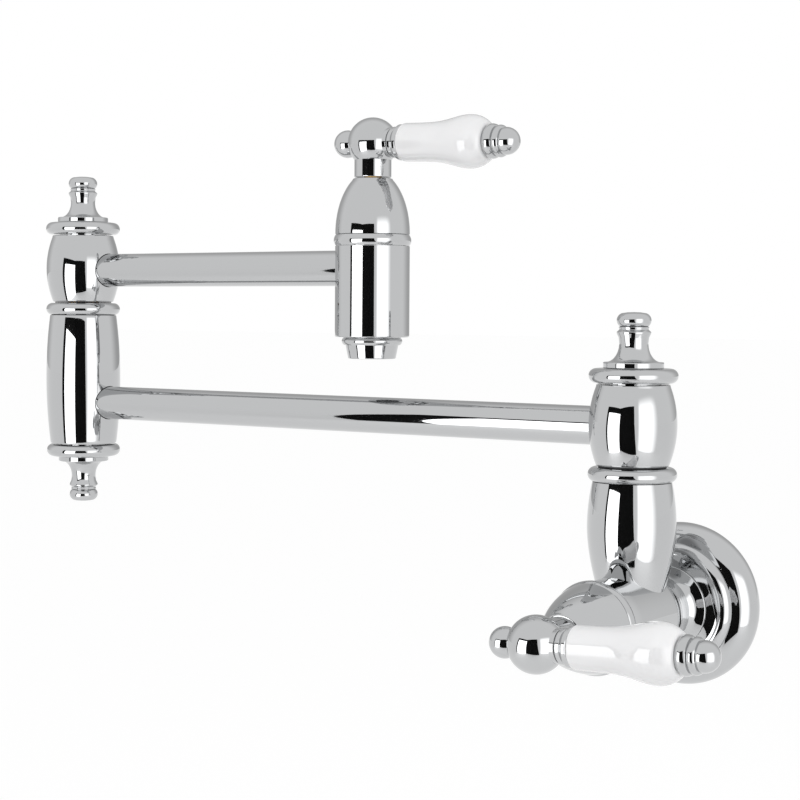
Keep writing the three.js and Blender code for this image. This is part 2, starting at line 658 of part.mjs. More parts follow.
// ---------------------------------------------------------------- quarter-turn valves
// The bonnet over a valve: a bead, a domed shell and a hole for the stem. Heights run from the
// bead towards the lever.
function bonnet(trim) {
  const dome = (z) => trim.domeRadius * Math.sqrt(1 - ((z - trim.domeFoot) / trim.domeReach) ** 2);
  const tip = trim.ballOut - trim.skirt - SKIRT_SEAM;
  const cavityHead = tip - BONNET_TIP_DEPTH;
  const sagitta = trim.bead - trim.side;
  const stemHole = STEM_RADIUS + RUNNING;
  const threadHead = trim.ballOut - SPIGOT_AT + FIT;
  const inside = sweep(threadHead + 3, cavityHead, 3, (z) => {
    return Math.min(dome(z) - BONNET_WALL, SPIGOT_RADIUS + FIT);
  }).reverse();
  return turnedRing([
    [SPIGOT_RADIUS + FIT, -BEAD_HALF],
    ...sweep(-BEAD_HALF, BEAD_HALF, 4, (z) => trim.bead - sagitta * (z / BEAD_HALF) ** 2),
    ...sweep(BEAD_HALF + 0.4, tip - 1, 7, dome),
    [dome(tip - 1) - 1, tip],
    [stemHole, tip],
    [stemHole, cavityHead + 1],
    [dome(cavityHead) - BONNET_WALL - 1, cavityHead + 1],
    ...inside,
  ], FINE);
}

// The inside of a valve, in a frame whose origin is the ball's centre with +z out of the body:
// cartridge housing, seat seal, two ceramic discs, stem and stem seal.
function valveCore(axis, prefix) {
  const sealFoot = -SEAT_AT + FACE;
  const seal = washer(SEAL_BORE, HOUSING_RADIUS - 1, sealFoot, sealFoot + SEAL_THICKNESS, COARSE);
  const housingFoot = sealFoot + SEAL_THICKNESS + FACE;
  const fixedFoot = housingFoot + FACE;
  const fixedHead = fixedFoot + DISC_THICKNESS;
  const movingFoot = fixedHead + FACE;
  const movingHead = movingFoot + DISC_THICKNESS;
  const driveFoot = movingHead + FACE;
  const driveHead = driveFoot + DRIVE_THICKNESS;
  place(axis, `${prefix}_seat_seal`, seal, RUBBER);
  place(axis, `${prefix}_cartridge`, housing(housingFoot, driveHead + FIT, movingHead), BRASS);
  place(axis, `${prefix}_fixed_disc`, portedDisc(fixedFoot, fixedHead), CERAMIC);
  const movingDisc = portedDisc(movingFoot, movingHead).rotateZ(Math.PI / 2);
  place(axis, `${prefix}_moving_disc`, movingDisc, CERAMIC);
  place(axis, `${prefix}_stem`, stem(driveFoot, driveHead), BRASS);
  const stemSeal = STEM_RADIUS + RUNNING - STEM_SEAL_SECTION - SQUEEZE;
  place(axis, `${prefix}_stem_seal`, sealRing(stemSeal, -STEM_SEAL_AT, STEM_SEAL_SECTION), RUBBER);
}

// A ceramic disc with two opposite ports.
function portedDisc(from, to) {
  const port = drill(DISC_RADIUS / 4, from - 1, to + 1, SMALL).translate(DISC_RADIUS / 2, 0, 0);
  const opposite = port.clone().rotateZ(Math.PI);
  return carved([drill(DISC_RADIUS, from, to, COARSE)], [port, opposite]);
}

// The cartridge's brass housing, with a hexagon to tighten it and two side windows.
function housing(foot, ceiling, windowAt) {
  const hexFoot = -SPIGOT_AT + FACE;
  const stemHole = STEM_RADIUS + RUNNING;
  const tube = turnedRing([
    [DISC_RADIUS + FIT, foot],
    [HOUSING_RADIUS, foot],
    [HOUSING_RADIUS, hexFoot],
    [HOUSING_NECK_RADIUS, hexFoot + HEX_HEIGHT],
    [HOUSING_NECK_RADIUS, -HOUSING_TOP],
    [stemHole, -HOUSING_TOP],
    [stemHole, ceiling],
    [DISC_RADIUS + FIT, ceiling],
  ], MEDIUM);
  const nut = hexagon(HEX_CORNER, hexFoot, HEX_HEIGHT, HOUSING_NECK_RADIUS - 1);
  const window = new THREE.BoxGeometry(4 * HOUSING_RADIUS, WINDOW_WIDTH, WINDOW_HEIGHT);
  return carved([tube, nut], [window.translate(0, 0, windowAt)]);
}

// The stem, from its driving foot on the moving disc to the splined end inside the lever's ball.
function stem(foot, footHead) {
  const floor = STEM_RADIUS + RUNNING - 2 * (STEM_SEAL_SECTION + SQUEEZE);
  const half = STEM_SEAL_SECTION + SQUEEZE;
  return turned([
    [0, foot],
    [DISC_RADIUS - FIT, foot],
    [DISC_RADIUS - FIT, footHead],
    [STEM_RADIUS, footHead],
    [STEM_RADIUS, -STEM_SEAL_AT - half],
    [floor, -STEM_SEAL_AT - half],
    [floor, -STEM_SEAL_AT + half],
    [STEM_RADIUS, -STEM_SEAL_AT + half],
    [STEM_RADIUS, -STEM_TOP],
    [0, -STEM_TOP],
  ], COARSE);
}

// ---------------------------------------------------------------- levers
// The lever's hub: ball, skirt, boss and knob, bored for the stem, the rod and a grub screw.
// The stem points along -z and the knob along -x; the boss points along +x, turned down by the droop.
function leverHub(trim) {
  const droop = radians(trim.droop);
  const skirt = trim.skirt;
  const skirtMeets = Math.asin(SKIRT_RADIUS / BALL_RADIUS);
  const ballFrom = THREE.MathUtils.radToDeg(skirtMeets) - 90;
  const ball = turned([
    [0, -skirt],
    [SKIRT_RADIUS, -skirt],
    ...arc(0, 0, BALL_RADIUS, ballFrom, 0, 2),
    ...arc(0, 0, BALL_RADIUS, 0, 90, 5).slice(1),
  ], MEDIUM);
  const boss = crossDrill(BOSS_RADIUS, 0, BOSS_END, MEDIUM).rotateY(droop);
  const neck = crossDrill(KNOB_NECK, -KNOB_AT, 0, COARSE);
  const knob = turned(arc(0, 0, KNOB_RADIUS, -90, 90, 6), COARSE).rotateY(-Math.PI / 2);
  const socket = drill(STEM_RADIUS + FIT, -skirt - 1, -STEM_TOP + FIT, COARSE);
  const rodHole = crossDrill(ROD_RADIUS + FIT, ROD_START - FIT, BOSS_END + 1, SMALL).rotateY(droop);
  const grubHole = crossDrill(GRUB_RADIUS + FIT, STEM_RADIUS, SKIRT_RADIUS + 1, SMALL)
    .rotateZ(Math.PI).translate(0, 0, -skirt + GRUB_RADIUS + 1.5);
  return carved([ball, boss, neck, knob.translate(-KNOB_AT, 0, 0)], [socket, rodHole, grubHole]);
}

// Radius of the porcelain sleeve: a slim waist that swells into a belly and rounds off.
function sleeveRadius(z) {
  if (z < SLEEVE_BELLY_AT) {
    const fade = Math.exp(-(((z - SLEEVE_BELLY_AT) / SLEEVE_FADE) ** 2));
    return SLEEVE_WAIST + (SLEEVE_BELLY - SLEEVE_WAIST) * fade;
  }
  return SLEEVE_BELLY * Math.sqrt(1 - ((z - SLEEVE_BELLY_AT) / SLEEVE_ROUND) ** 2);
}

function leverSleeve() {
  return turnedRing([
    [SLEEVE_BORE, SLEEVE_START],
    [SLEEVE_WAIST - SLEEVE_EDGE, SLEEVE_START],
    ...sweep(SLEEVE_START + SLEEVE_EDGE, SLEEVE_BELLY_AT - 30, 1, sleeveRadius),
    ...sweep(SLEEVE_BELLY_AT - 21, SLEEVE_END, 7, sleeveRadius),
    [SLEEVE_BORE, SLEEVE_END],
  ], MEDIUM);
}

// The chromed collar between hub and sleeve: a small ring and a larger one.
function leverCollar() {
  const foot = BOSS_END + FACE;
  const head = SLEEVE_START - FACE;
  return turnedRing([
    [ROD_RADIUS + FIT, foot],
    [COLLAR_SMALL_RADIUS - 0.7, foot],
    [COLLAR_SMALL_RADIUS, foot + 0.9],
    [COLLAR_SMALL_RADIUS, COLLAR_SMALL_END - 0.6],
    [COLLAR_SMALL_RADIUS - 0.7, COLLAR_SMALL_END],
    [COLLAR_LARGE_RADIUS - 0.8, COLLAR_SMALL_END + 0.5],
    [COLLAR_LARGE_RADIUS, COLLAR_SMALL_END + 1.4],
    [COLLAR_LARGE_RADIUS, head - 0.6],
    [COLLAR_LARGE_RADIUS - 0.5, head],
    [ROD_RADIUS + FIT, head],
  ], MEDIUM);
}

// The cap that the rod pulls the sleeve up with: two beads, a groove and a round nose.
function leverCap() {
  const foot = SLEEVE_END + FACE;
  const beadOf = (from, width, radius) => {
    const middle = from + width / 2;
    return sweep(from, from + width, 2, (z) => radius - 0.9 * ((2 * (z - middle)) / width) ** 2);
  };
  const secondFrom = foot + CAP_RING_LARGE_WIDTH + 0.15;
  const groove = secondFrom + CAP_RING_SMALL_WIDTH + 0.15;
  return turned([
    [0, ROD_END + FIT],
    [ROD_RADIUS + FIT, ROD_END + FIT],
    [ROD_RADIUS + FIT, foot],
    ...beadOf(foot, CAP_RING_LARGE_WIDTH, CAP_RING_LARGE),
    ...beadOf(secondFrom, CAP_RING_SMALL_WIDTH, CAP_RING_SMALL),
    [CAP_GROOVE, groove],
    ...arc(0, NOSE_AT, NOSE_RADIUS, -5, 90, 4),
  ], MEDIUM);
}

// A whole lever at a ball centre, in a frame whose +x runs along the lever.
function lever(axis, prefix, trim) {
  place(axis, `${prefix}_lever_hub`, leverHub(trim), CHROME);
  const grub = grubScrew(STEM_RADIUS + FACE, SKIRT_RADIUS - 0.6).rotateZ(Math.PI);
  const grubAt = -trim.skirt + GRUB_RADIUS + 1.5;
  place(axis, `${prefix}_lever_grub_screw`, grub.translate(0, 0, grubAt), STEEL);
  const along = frame(axis, [0, 0, 0], "y", Math.PI / 2 + radians(trim.droop));
  place(along, `${prefix}_lever_collar`, leverCollar(), CHROME);
  place(along, `${prefix}_lever_sleeve`, leverSleeve(), PORCELAIN);
  place(along, `${prefix}_lever_rod`, drill(ROD_RADIUS, ROD_START, ROD_END, SMALL), STEEL);
  place(along, `${prefix}_lever_cap`, leverCap(), CHROME);
}

const wallBallFrame = frame(wallAxis, [0, 0, wallBall]);
place(frame(wallAxis, [0, 0, bead]), "wall_bonnet", bonnet(WALL_TRIM), CHROME);
valveCore(wallBallFrame, "wall");
lever(frame(wallBallFrame, [0, 0, 0], "z", radians(LEVER_TILT)), "wall", WALL_TRIM);

// ---------------------------------------------------------------- lower arm
swivelTrim(riserAxis, "riser", RISER_RING_HEIGHT);
place(riserAxis, "riser_barrel", swivelBarrel(RISER_RING_HEIGHT, -1), CHROME);

// A straight arm tube along +x between two columns.
function armTube(from, to) {
  return washer(TUBE_OD / 2 - TUBE_WALL, TUBE_OD / 2, from, to, MEDIUM).rotateY(Math.PI / 2);
}

const tubeStandoff = CHAMBER_RADIUS + FIT;
const lowerTube = armTube(tubeStandoff, REACH_LOWER - tubeStandoff);
place(elbowAxis, "lower_arm_tube", lowerTube.translate(0, 0, lowerArmHeight), CHROME);

// The long elbow barrel, which carries the lower arm tube and the upper swivel's post.
function elbowBarrel() {
  const foot = ELBOW_FOOT_HEIGHT + halfRing + CAP_SEAM;
  const neck = ELBOW_RING_HEIGHT - halfRing;
  const head = ELBOW_RING_HEIGHT + halfRing;
  const socketFoot = head - POST_DEPTH - FACE;
  const middle = (foot + neck) / 2;
  const edge = 0.6;
  const shell = turnedRing([
    [PLUG_RADIUS + FIT, foot],
    [ELBOW_END_RADIUS - edge, foot],
    ...bulge(foot + edge, neck, middle, ELBOW_MID_RADIUS, ELBOW_END_RADIUS, 6),
    ...ringEdge(ELBOW_RING_HEIGHT),
    [postSocket, head],
    [postSocket, socketFoot],
    [CHAMBER_RADIUS, socketFoot - 2],
    [CHAMBER_RADIUS, foot + PLUG_DEPTH + 1],
    [PLUG_RADIUS + FIT, foot + PLUG_DEPTH + 1],
  ], FINE);
  return carved([shell], [sideHole(1, ELBOW_MID_RADIUS, lowerArmHeight)]);
}

place(elbowAxis, "elbow_barrel", elbowBarrel(), CHROME);
place(elbowAxis, "elbow_foot_ring", capRing(ELBOW_FOOT_HEIGHT, -1), CHROME);
place(elbowAxis, "elbow_foot_finial", finial(ELBOW_FOOT_HEIGHT, -1), CHROME);
swivelCore(elbowAxis, "elbow", ELBOW_RING_HEIGHT);

// ---------------------------------------------------------------- upper arm and spout
const elbowInArm = frame(upperArm, [0, 0, -upperArmHeight]);
place(elbowInArm, "upper_barrel", swivelBarrel(ELBOW_RING_HEIGHT, 1), CHROME);
swivelTrim(elbowInArm, "upper", ELBOW_RING_HEIGHT);
place(upperArm, "upper_arm_tube", armTube(tubeStandoff, REACH_UPPER - tubeStandoff), CHROME);

const spoutBall = SPOUT_BEAD_HEIGHT + SPOUT_TRIM.ballOut;

// The spout: a straight turned body, with a water chamber round the cartridge, a seat below it
// and a threaded recess for the aerator.
function spoutBody() {
  const shoulder = SPOUT_BEAD_HEIGHT - BEAD_HALF - FACE;
  const chamberHead = tubeHole + FIT;
  const seat = spoutBall - SEAT_AT;
  const recess = -SPOUT_FOOT_DROP + AERATOR_RECESS;
  const bore = HOUSING_RADIUS + FIT;
  const thread = AERATOR_THREAD_RADIUS + FIT;
  const shell = turnedRing([
    [thread, -SPOUT_FOOT_DROP],
    [SPOUT_RADIUS - 0.7, -SPOUT_FOOT_DROP],
    [SPOUT_RADIUS, -SPOUT_FOOT_DROP + 0.7],
    [SPOUT_RADIUS, shoulder],
    [SPIGOT_RADIUS, shoulder],
    [SPIGOT_RADIUS, spoutBall - SPIGOT_AT],
    [bore, spoutBall - SPIGOT_AT],
    [bore, chamberHead],
    [CHAMBER_RADIUS, chamberHead],
    [CHAMBER_RADIUS, -SPOUT_CHAMBER_FOOT],
    [bore, -SPOUT_CHAMBER_FOOT],
    [bore, seat],
    [OUTLET_PORT_RADIUS, seat],
    [OUTLET_PORT_RADIUS, recess],
    [thread, recess],
  ], FINE);
  return carved([shell], [sideHole(-1, SPOUT_RADIUS, 0)]);
}

// The aerator: a chromed nozzle with a bead, a moulded insert, a screen and a gasket.
function aerator() {
  const recess = -SPOUT_FOOT_DROP + AERATOR_RECESS;
  const gasketFoot = recess - FACE - AERATOR_GASKET_THICKNESS;
  const spigotHead = gasketFoot - FACE;
  const ringHead = -SPOUT_FOOT_DROP - FACE;
  const ringFoot = ringHead - AERATOR_RING_HEIGHT;
  const ringMiddle = (ringHead + ringFoot) / 2;
  const tip = -SPOUT_FOOT_DROP - AERATOR_LENGTH;
  const lipHead = tip + 1;
  const screenFoot = lipHead + FACE;
  const screenHead = screenFoot + SCREEN_THICKNESS;
  const ringRadius = (z) => {
    return AERATOR_RING_RADIUS - ((2 * (z - ringMiddle)) / AERATOR_RING_HEIGHT) ** 2;
  };
  const nozzle = turnedRing([
    [AERATOR_LIP_BORE, tip],
    [AERATOR_TIP_RADIUS, tip],
    [AERATOR_TOP_RADIUS, ringFoot - 0.4],
    [AERATOR_TOP_RADIUS, ringFoot],
    ...sweep(ringFoot, ringHead, 4, ringRadius),
    [AERATOR_THREAD_RADIUS, ringHead],
    [AERATOR_THREAD_RADIUS, spigotHead],
    [AERATOR_BORE, spigotHead],
    [AERATOR_BORE, lipHead],
    [AERATOR_LIP_BORE, lipHead],
  ], MEDIUM);
  const insertRadius = AERATOR_BORE - FIT;
  const insert = washer(INSERT_BORE, insertRadius, screenHead + FACE, spigotHead - 1, COARSE);
  const gasketOuter = AERATOR_THREAD_RADIUS - FIT;
  const gasket = washer(SEAL_BORE + 1, gasketOuter, gasketFoot, recess - FACE, COARSE);
  place(spoutAxis, "aerator_nozzle", nozzle, CHROME);
  place(spoutAxis, "aerator_insert", insert, NYLON);
  place(spoutAxis, "aerator_screen", strainer(insertRadius, screenFoot, screenHead), STEEL);
  place(spoutAxis, "aerator_gasket", gasket, RUBBER);
}

place(spoutAxis, "spout_body", spoutBody(), CHROME);
aerator();
place(frame(spoutAxis, [0, 0, SPOUT_BEAD_HEIGHT]), "spout_bonnet", bonnet(SPOUT_TRIM), CHROME);
const spoutBallFrame = frame(spoutAxis, [0, 0, spoutBall]);
valveCore(spoutBallFrame, "spout");
lever(spoutBallFrame, "spout", SPOUT_TRIM);

export default potFiller;
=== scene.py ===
"""Wall-mounted pot filler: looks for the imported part, from the wall gasket out to the levers."""

import math

import bmesh
import bpy
from mathutils import Matrix, Vector


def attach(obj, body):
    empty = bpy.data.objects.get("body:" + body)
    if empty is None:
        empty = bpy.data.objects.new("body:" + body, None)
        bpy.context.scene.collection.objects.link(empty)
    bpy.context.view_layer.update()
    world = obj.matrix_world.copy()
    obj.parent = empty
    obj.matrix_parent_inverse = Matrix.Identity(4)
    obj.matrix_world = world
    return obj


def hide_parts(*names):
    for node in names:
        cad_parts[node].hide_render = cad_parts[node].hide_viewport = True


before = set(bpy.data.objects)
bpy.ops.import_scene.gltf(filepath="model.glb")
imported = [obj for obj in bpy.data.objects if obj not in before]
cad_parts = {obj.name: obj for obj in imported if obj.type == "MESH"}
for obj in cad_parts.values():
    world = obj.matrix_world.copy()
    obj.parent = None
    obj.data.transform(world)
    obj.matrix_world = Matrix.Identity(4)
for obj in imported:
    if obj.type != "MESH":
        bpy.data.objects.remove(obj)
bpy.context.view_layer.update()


# ------------------------------------------------------------------ wall gasket
# A flat nitrile ring that sits in a recess in the flange's back and seals it to the wall. It is
# punched from sheet and held only by the flange's pressure.
MM = 0.001
ON_WALL = Matrix.Rotation(math.pi / 2, 4, "X")    # a piece made about +z points out of the wall
FINE = 160                                        # facets round a piece that shows
WELD = 0.0001 * MM                                # corners nearer than this are made one
SHARP = math.radians(32)                          # a bend beyond this shows as an edge
COLOUR_A, COLOUR_B, COLOUR_OUT = 6, 7, 2          # a Mix node's sockets for colours


def linear(hex_colour):
    """An sRGB hex colour as the linear colour that a shader takes."""
    values = [int(hex_colour[i:i + 2], 16) / 255 for i in (1, 3, 5)]
    return (*(v / 12.92 if v <= 0.04045 else ((v + 0.055) / 1.055) ** 2.4 for v in values), 1)


def add(tree, kind, inputs=None, **settings):
    """A node with its settings. An input takes a value, or a node or socket to link from."""
    node = tree.nodes.new(kind)
    for key, value in settings.items():
        setattr(node, key, value)
    given = inputs.items() if isinstance(inputs, dict) else enumerate(inputs or ())
    for key, value in given:
        for item in value if isinstance(value, list) else [value]:
            if isinstance(item, bpy.types.Node):
                item = item.outputs[0]
            if isinstance(item, bpy.types.NodeSocket):
                tree.links.new(item, node.inputs[key])
            elif item is not None:
                node.inputs[key].default_value = item
    return node


def new_material(name, colour, metallic, roughness, ior=None):
    """A material with its Principled shader, and the Object coordinates that patterns read."""
    material = bpy.data.materials.new(name)
    material.use_nodes = True
    tree = material.node_tree
    shader = tree.nodes["Principled BSDF"]
    shader.inputs["Base Color"].default_value = linear(colour)
    shader.inputs["Metallic"].default_value = metallic
    shader.inputs["Roughness"].default_value = roughness
    if ior is not None:
        shader.inputs["IOR"].default_value = ior
    place = add(tree, "ShaderNodeTexCoord").outputs["Object"]
    return material, tree, shader, place


def surfaced(tree, shader, height, strength, depth, rough=None):
    """Gives a shader a relief, its depth in mm, and a roughness that follows it between two values.
    Nearly all of a noise lies between 0.3 and 0.7."""
    bump = add(tree, "ShaderNodeBump", {
        "Height": height, "Strength": strength, "Distance": depth * MM,
    })
    tree.links.new(bump.outputs[0], shader.inputs["Normal"])
    if rough:
        spread = add(tree, "ShaderNodeMapRange", {
            "Value": height, "From Min": 0.3, "From Max": 0.7, "To Min": rough[0],
            "To Max": rough[1],
        })
        tree.links.new(spread.outputs[0], shader.inputs["Roughness"])


def tinted(tree, shader, share, first, second):
    """Lets a shader's colour drift between two hex colours."""
    tint = add(tree, "ShaderNodeMix", {
        "Factor": share, COLOUR_A: linear(first), COLOUR_B: linear(second),
    }, data_type="RGBA")
    tree.links.new(tint.outputs[COLOUR_OUT], shader.inputs["Base Color"])


def grained(name, colour, metallic, roughness, ior=None, *, grain, strength, depth, rough,
            drift=None):
    """A material whose relief and roughness follow one noise, and whose colour may drift between
    two others with a second. A noise is told by its size in mm and its detail."""
    material, tree, shader, place = new_material(name, colour, metallic, roughness, ior)
    relief = add(tree, "ShaderNodeTexNoise", {
        "Vector": place, "Scale": 1 / (grain[0] * MM), "Detail": grain[1],
    })
    surfaced(tree, shader, relief, strength, depth, rough)
    if drift:
        size, detail, first, second = drift
        share = add(tree, "ShaderNodeTexNoise", {
            "Vector": place, "Scale": 1 / (size * MM), "Detail": detail,
        })
        tinted(tree, shader, share, first, second)
    return material


# Nitrile rubber: soft near-black, with a fine 0.3 mm pebble and a dry bloom in patches.
rubber = grained("nitrile_rubber", "#1b1b1c", 0, 0.62, 1.52, grain=(0.3, 3), strength=0.35,
                 depth=0.03, rough=(0.5, 0.75), drift=(6, 4, "#161617", "#262627"))


def new_tree(name, lengths, counts=""):
    """An empty modifier tree with named inputs, which are lengths, counts and its material. Gives
    the tree and the sockets of its inputs."""
    tree = bpy.data.node_groups.new(name, "GeometryNodeTree")
    tree.interface.new_socket("Geometry", in_out="INPUT", socket_type="NodeSocketGeometry")
    tree.interface.new_socket("Geometry", in_out="OUTPUT", socket_type="NodeSocketGeometry")
    for kind, names in (("Float", lengths), ("Int", counts), ("Material", "Material")):
        for size in names.split():
            tree.interface.new_socket(size, in_out="INPUT", socket_type="NodeSocket" + kind)
    return tree, tree.nodes.new("NodeGroupInput").outputs


def ended(tree, size, shape):
    """Ends a tree: real geometry, its material, and out."""
    real = add(tree, "GeometryNodeRealizeInstances", [shape])
    painted = add(tree, "GeometryNodeSetMaterial", {
        "Geometry": real, "Material": size["Material"],
    })
    add(tree, "NodeGroupOutput", [painted])
    return tree


def new_object(name, data):
    """An object of this data, in the scene."""
    piece = bpy.data.objects.new(name, data)
    bpy.context.scene.collection.objects.link(piece)
    return piece


def grown(name, tree, place, piece=None, **sizes):
    """Runs a tree on a new piece or on a given one, and keeps what it makes as a plain mesh. The
    place and the lengths are in mm."""
    if piece is None:
        piece = new_object(name, bpy.data.meshes.new(name))
    step = piece.modifiers.new("tree", "NODES")
    step.node_group = tree
    for socket in tree.interface.items_tree:
        if socket.name in sizes:
            size = sizes[socket.name]
            is_length = socket.socket_type == "NodeSocketFloat"
            step[socket.identifier] = size * MM if is_length else size
    depsgraph = bpy.context.evaluated_depsgraph_get()
    mesh = bpy.data.meshes.new_from_object(piece.evaluated_get(depsgraph))
    piece.modifiers.clear()
    piece.data = mesh
    piece.name = mesh.name = name
    shape = bmesh.new()
    shape.from_mesh(mesh)
    bmesh.ops.remove_doubles(shape, verts=shape.verts, dist=WELD)
    bmesh.ops.recalc_face_normals(shape, faces=shape.faces)
    in_metres = place.copy()
    in_metres.translation *= MM
    shape.transform(in_metres)
    shape.to_mesh(mesh)
    shape.free()
    return piece


def halfway(tree, first, second):
    """The middle of two sizes."""
    both = add(tree, "ShaderNodeMath", (first, second), operation="ADD")
    return add(tree, "ShaderNodeMath", (both, 0.5), operation="MULTIPLY")


def ring_tree():
    """A ring or tube of square section: a circle, with the section of its wall swept on it."""
    tree, size = new_tree("ring_of_square_section", "Bore Outside Foot Head", "Facets")
    middle = halfway(tree, size["Bore"], size["Outside"])
    wall = add(tree, "ShaderNodeMath", (size["Outside"], size["Bore"]), operation="SUBTRACT")
    height = add(tree, "ShaderNodeMath", (size["Head"], size["Foot"]), operation="SUBTRACT")
    lift = halfway(tree, size["Foot"], size["Head"])
    path = add(tree, "GeometryNodeCurvePrimitiveCircle", {
        "Resolution": size["Facets"], "Radius": middle,
    })
    section = add(tree, "GeometryNodeCurvePrimitiveQuadrilateral", {
        "Width": wall, "Height": height,
    })
    swept = add(tree, "GeometryNodeCurveToMesh", {"Curve": path, "Profile Curve": section})
    up = add(tree, "ShaderNodeCombineXYZ", {"Z": lift})
    raised = add(tree, "GeometryNodeSetPosition", {"Geometry": swept, "Offset": up})
    return ended(tree, size, raised)


ring_of_square_section = ring_tree()


def dress(piece, body, node, material=None):
    """Gives a finished piece its material and its body, and hides the CAD node that it stands for.
    """
    if material:
        piece.data.materials.clear()
        piece.data.materials.append(material)
    piece.data.shade_smooth()
    piece.data.set_sharp_from_angle(angle=SHARP)
    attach(piece, body)
    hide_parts(node)


gasket = grown("flange_gasket_punched", ring_of_square_section, ON_WALL, Bore=29.6,
               Outside=34.4, Foot=0, Head=1.4, Facets=FINE, Material=rubber)
dress(gasket, "wall_set", "flange_gasket")


# ------------------------------------------------------------------ inlet shank
# A short tailpiece turned from brass bar. It screws on the wall's 1/2 in pipe nipple by the thread
# in its bore and into the valve body by its slimmer end, and the flange slides on it.

# Bar brass straight from the lathe: warm yellow, with fine marks that the tool left and a colour
# that drifts where the coolant stained it.
brass = grained("machined_brass", "#c9a35a", 1, 0.28, grain=(0.5, 3), strength=0.3, depth=0.01,
                rough=(0.2, 0.36), drift=(5, 3, "#cfaa62", "#bd9550"))
MOST_OF_A_SIDE = 0.45     # the share of a side that one rounding may take
PAST_THE_ARC = 1.25       # a point this far out keeps the side beside a rounding flat
ARC_STEPS = 5


def eased(profile):
    """The profile with each corner that states a rounding turned into a small arc."""
    points = []
    count = len(profile)
    for i, corner in enumerate(profile):
        here = Vector(corner[:2])
        if len(corner) < 3:
            points.append(here)
            continue
        before = Vector(profile[i - 1][:2]) - here
        after = Vector(profile[(i + 1) % count][:2]) - here
        reach = MOST_OF_A_SIDE * min(before.length, after.length)
        before.normalize()
        after.normalize()
        half = before.angle(after) / 2
        inset = min(corner[2] / math.tan(half), reach)
        middle = here + (before + after).normalized() * inset / math.cos(half)
        first = here + before * inset - middle
        last = here + after * inset - middle
        points.append(here + before * inset * PAST_THE_ARC)
        for k in range(ARC_STEPS + 1):
            bend = first.lerp(last, k / ARC_STEPS)
            points.append(middle + bend.normalized() * first.length)
        points.append(here + after * inset * PAST_THE_ARC)
    return points


def turned(name, place, profile, ring=False, facets=FINE):
    """A turned piece. Its profile of (radius, height[, rounding]) in mm runs upwards outside, and
    closes on itself in a ring."""
    shape = bmesh.new()
    rows = []
    for radius, height in eased(profile):
        if radius < 1e-6:
            rows.append([shape.verts.new((0, 0, height))] * facets)
            continue
        rows.append([
            shape.verts.new((radius * math.cos(turn), radius * math.sin(turn), height))
            for turn in (2 * math.pi * k / facets for k in range(facets))
        ])
    pairs = list(zip(rows, rows[1:]))
    if ring:
        pairs.append((rows[-1], rows[0]))
    for low, high in pairs:
        for k in range(facets):
            corners = [low[k], low[k - facets + 1], high[k - facets + 1], high[k]]
            unique = list(dict.fromkeys(corners))
            if len(unique) > 2:
                shape.faces.new(unique)
    shape.transform(Matrix.Scale(MM, 4) @ place)
    mesh = bpy.data.meshes.new(name)
    shape.to_mesh(mesh)
    shape.free()
    return new_object(name, mesh)


def curve(start, end, steps, radius_at):
    """Profile points whose radius is a function of the height."""
    heights = [start + (end - start) * i / steps for i in range(steps + 1)]
    return [(radius_at(z), z) for z in heights]


def position(tree):
    """The x, y and z of each point."""
    return add(tree, "ShaderNodeSeparateXYZ", [add(tree, "GeometryNodeInputPosition")]).outputs


def from_helix(tree, x, y, z, pitch):
    """How far each point lies from a thread's line: 0 on it, and 0.5 halfway to its next turn."""
    angle = add(tree, "ShaderNodeMath", (y, x), operation="ARCTAN2")
    turn = add(tree, "ShaderNodeMath", (angle, 2 * math.pi), operation="DIVIDE")
    climbed = add(tree, "ShaderNodeMath", (z, pitch), operation="DIVIDE")
    helix = add(tree, "ShaderNodeMath", (climbed, turn), operation="SUBTRACT")
    return add(tree, "ShaderNodeMath", (helix, 0.5), operation="PINGPONG")


def thread_tree():
    """Cuts a screw thread into a piece's bore: each point of the bore moves outwards by where it
    lies on the helix, and the cut fades out over the last 2.5 mm before the thread's end."""
    tree, size = new_tree("thread_in_a_bore", "Bore Depth Pitch End")
    x, y, z = position(tree)
    square = add(tree, "ShaderNodeMath", (x, x), operation="MULTIPLY")
    squares = add(tree, "ShaderNodeMath", (y, y, square), operation="MULTIPLY_ADD")
    radius = add(tree, "ShaderNodeMath", [squares], operation="SQRT")
    on_bore = add(tree, "ShaderNodeMath", (radius, size["Bore"], 0.05 * MM), operation="COMPARE")
    inside = add(tree, "ShaderNodeMath", (z, size["End"]), operation="LESS_THAN")
    chosen = add(tree, "ShaderNodeMath", (on_bore, inside), operation="MULTIPLY")
    flank = from_helix(tree, x, y, z, size["Pitch"])
    groove = add(tree, "ShaderNodeMapRange", {"Value": flank, "From Min": 0.06, "From Max": 0.44})
    left = add(tree, "ShaderNodeMath", (size["End"], z), operation="SUBTRACT")
    fade = add(tree, "ShaderNodeMapRange", {"Value": left, "From Max": 2.5 * MM})
    cut = add(tree, "ShaderNodeMath", (groove, fade), operation="MULTIPLY")
    deep = add(tree, "ShaderNodeMath", (cut, size["Depth"]), operation="MULTIPLY")
    flat = add(tree, "ShaderNodeCombineXYZ", {"X": x, "Y": y})
    outward = add(tree, "ShaderNodeVectorMath", [flat], operation="NORMALIZE")
    shift = add(tree, "ShaderNodeVectorMath", {0: outward, "Scale": deep}, operation="SCALE")
    moved = add(tree, "GeometryNodeSetPosition", {
        "Geometry": size["Geometry"], "Selection": chosen, "Offset": shift,
    })
    return ended(tree, size, moved)


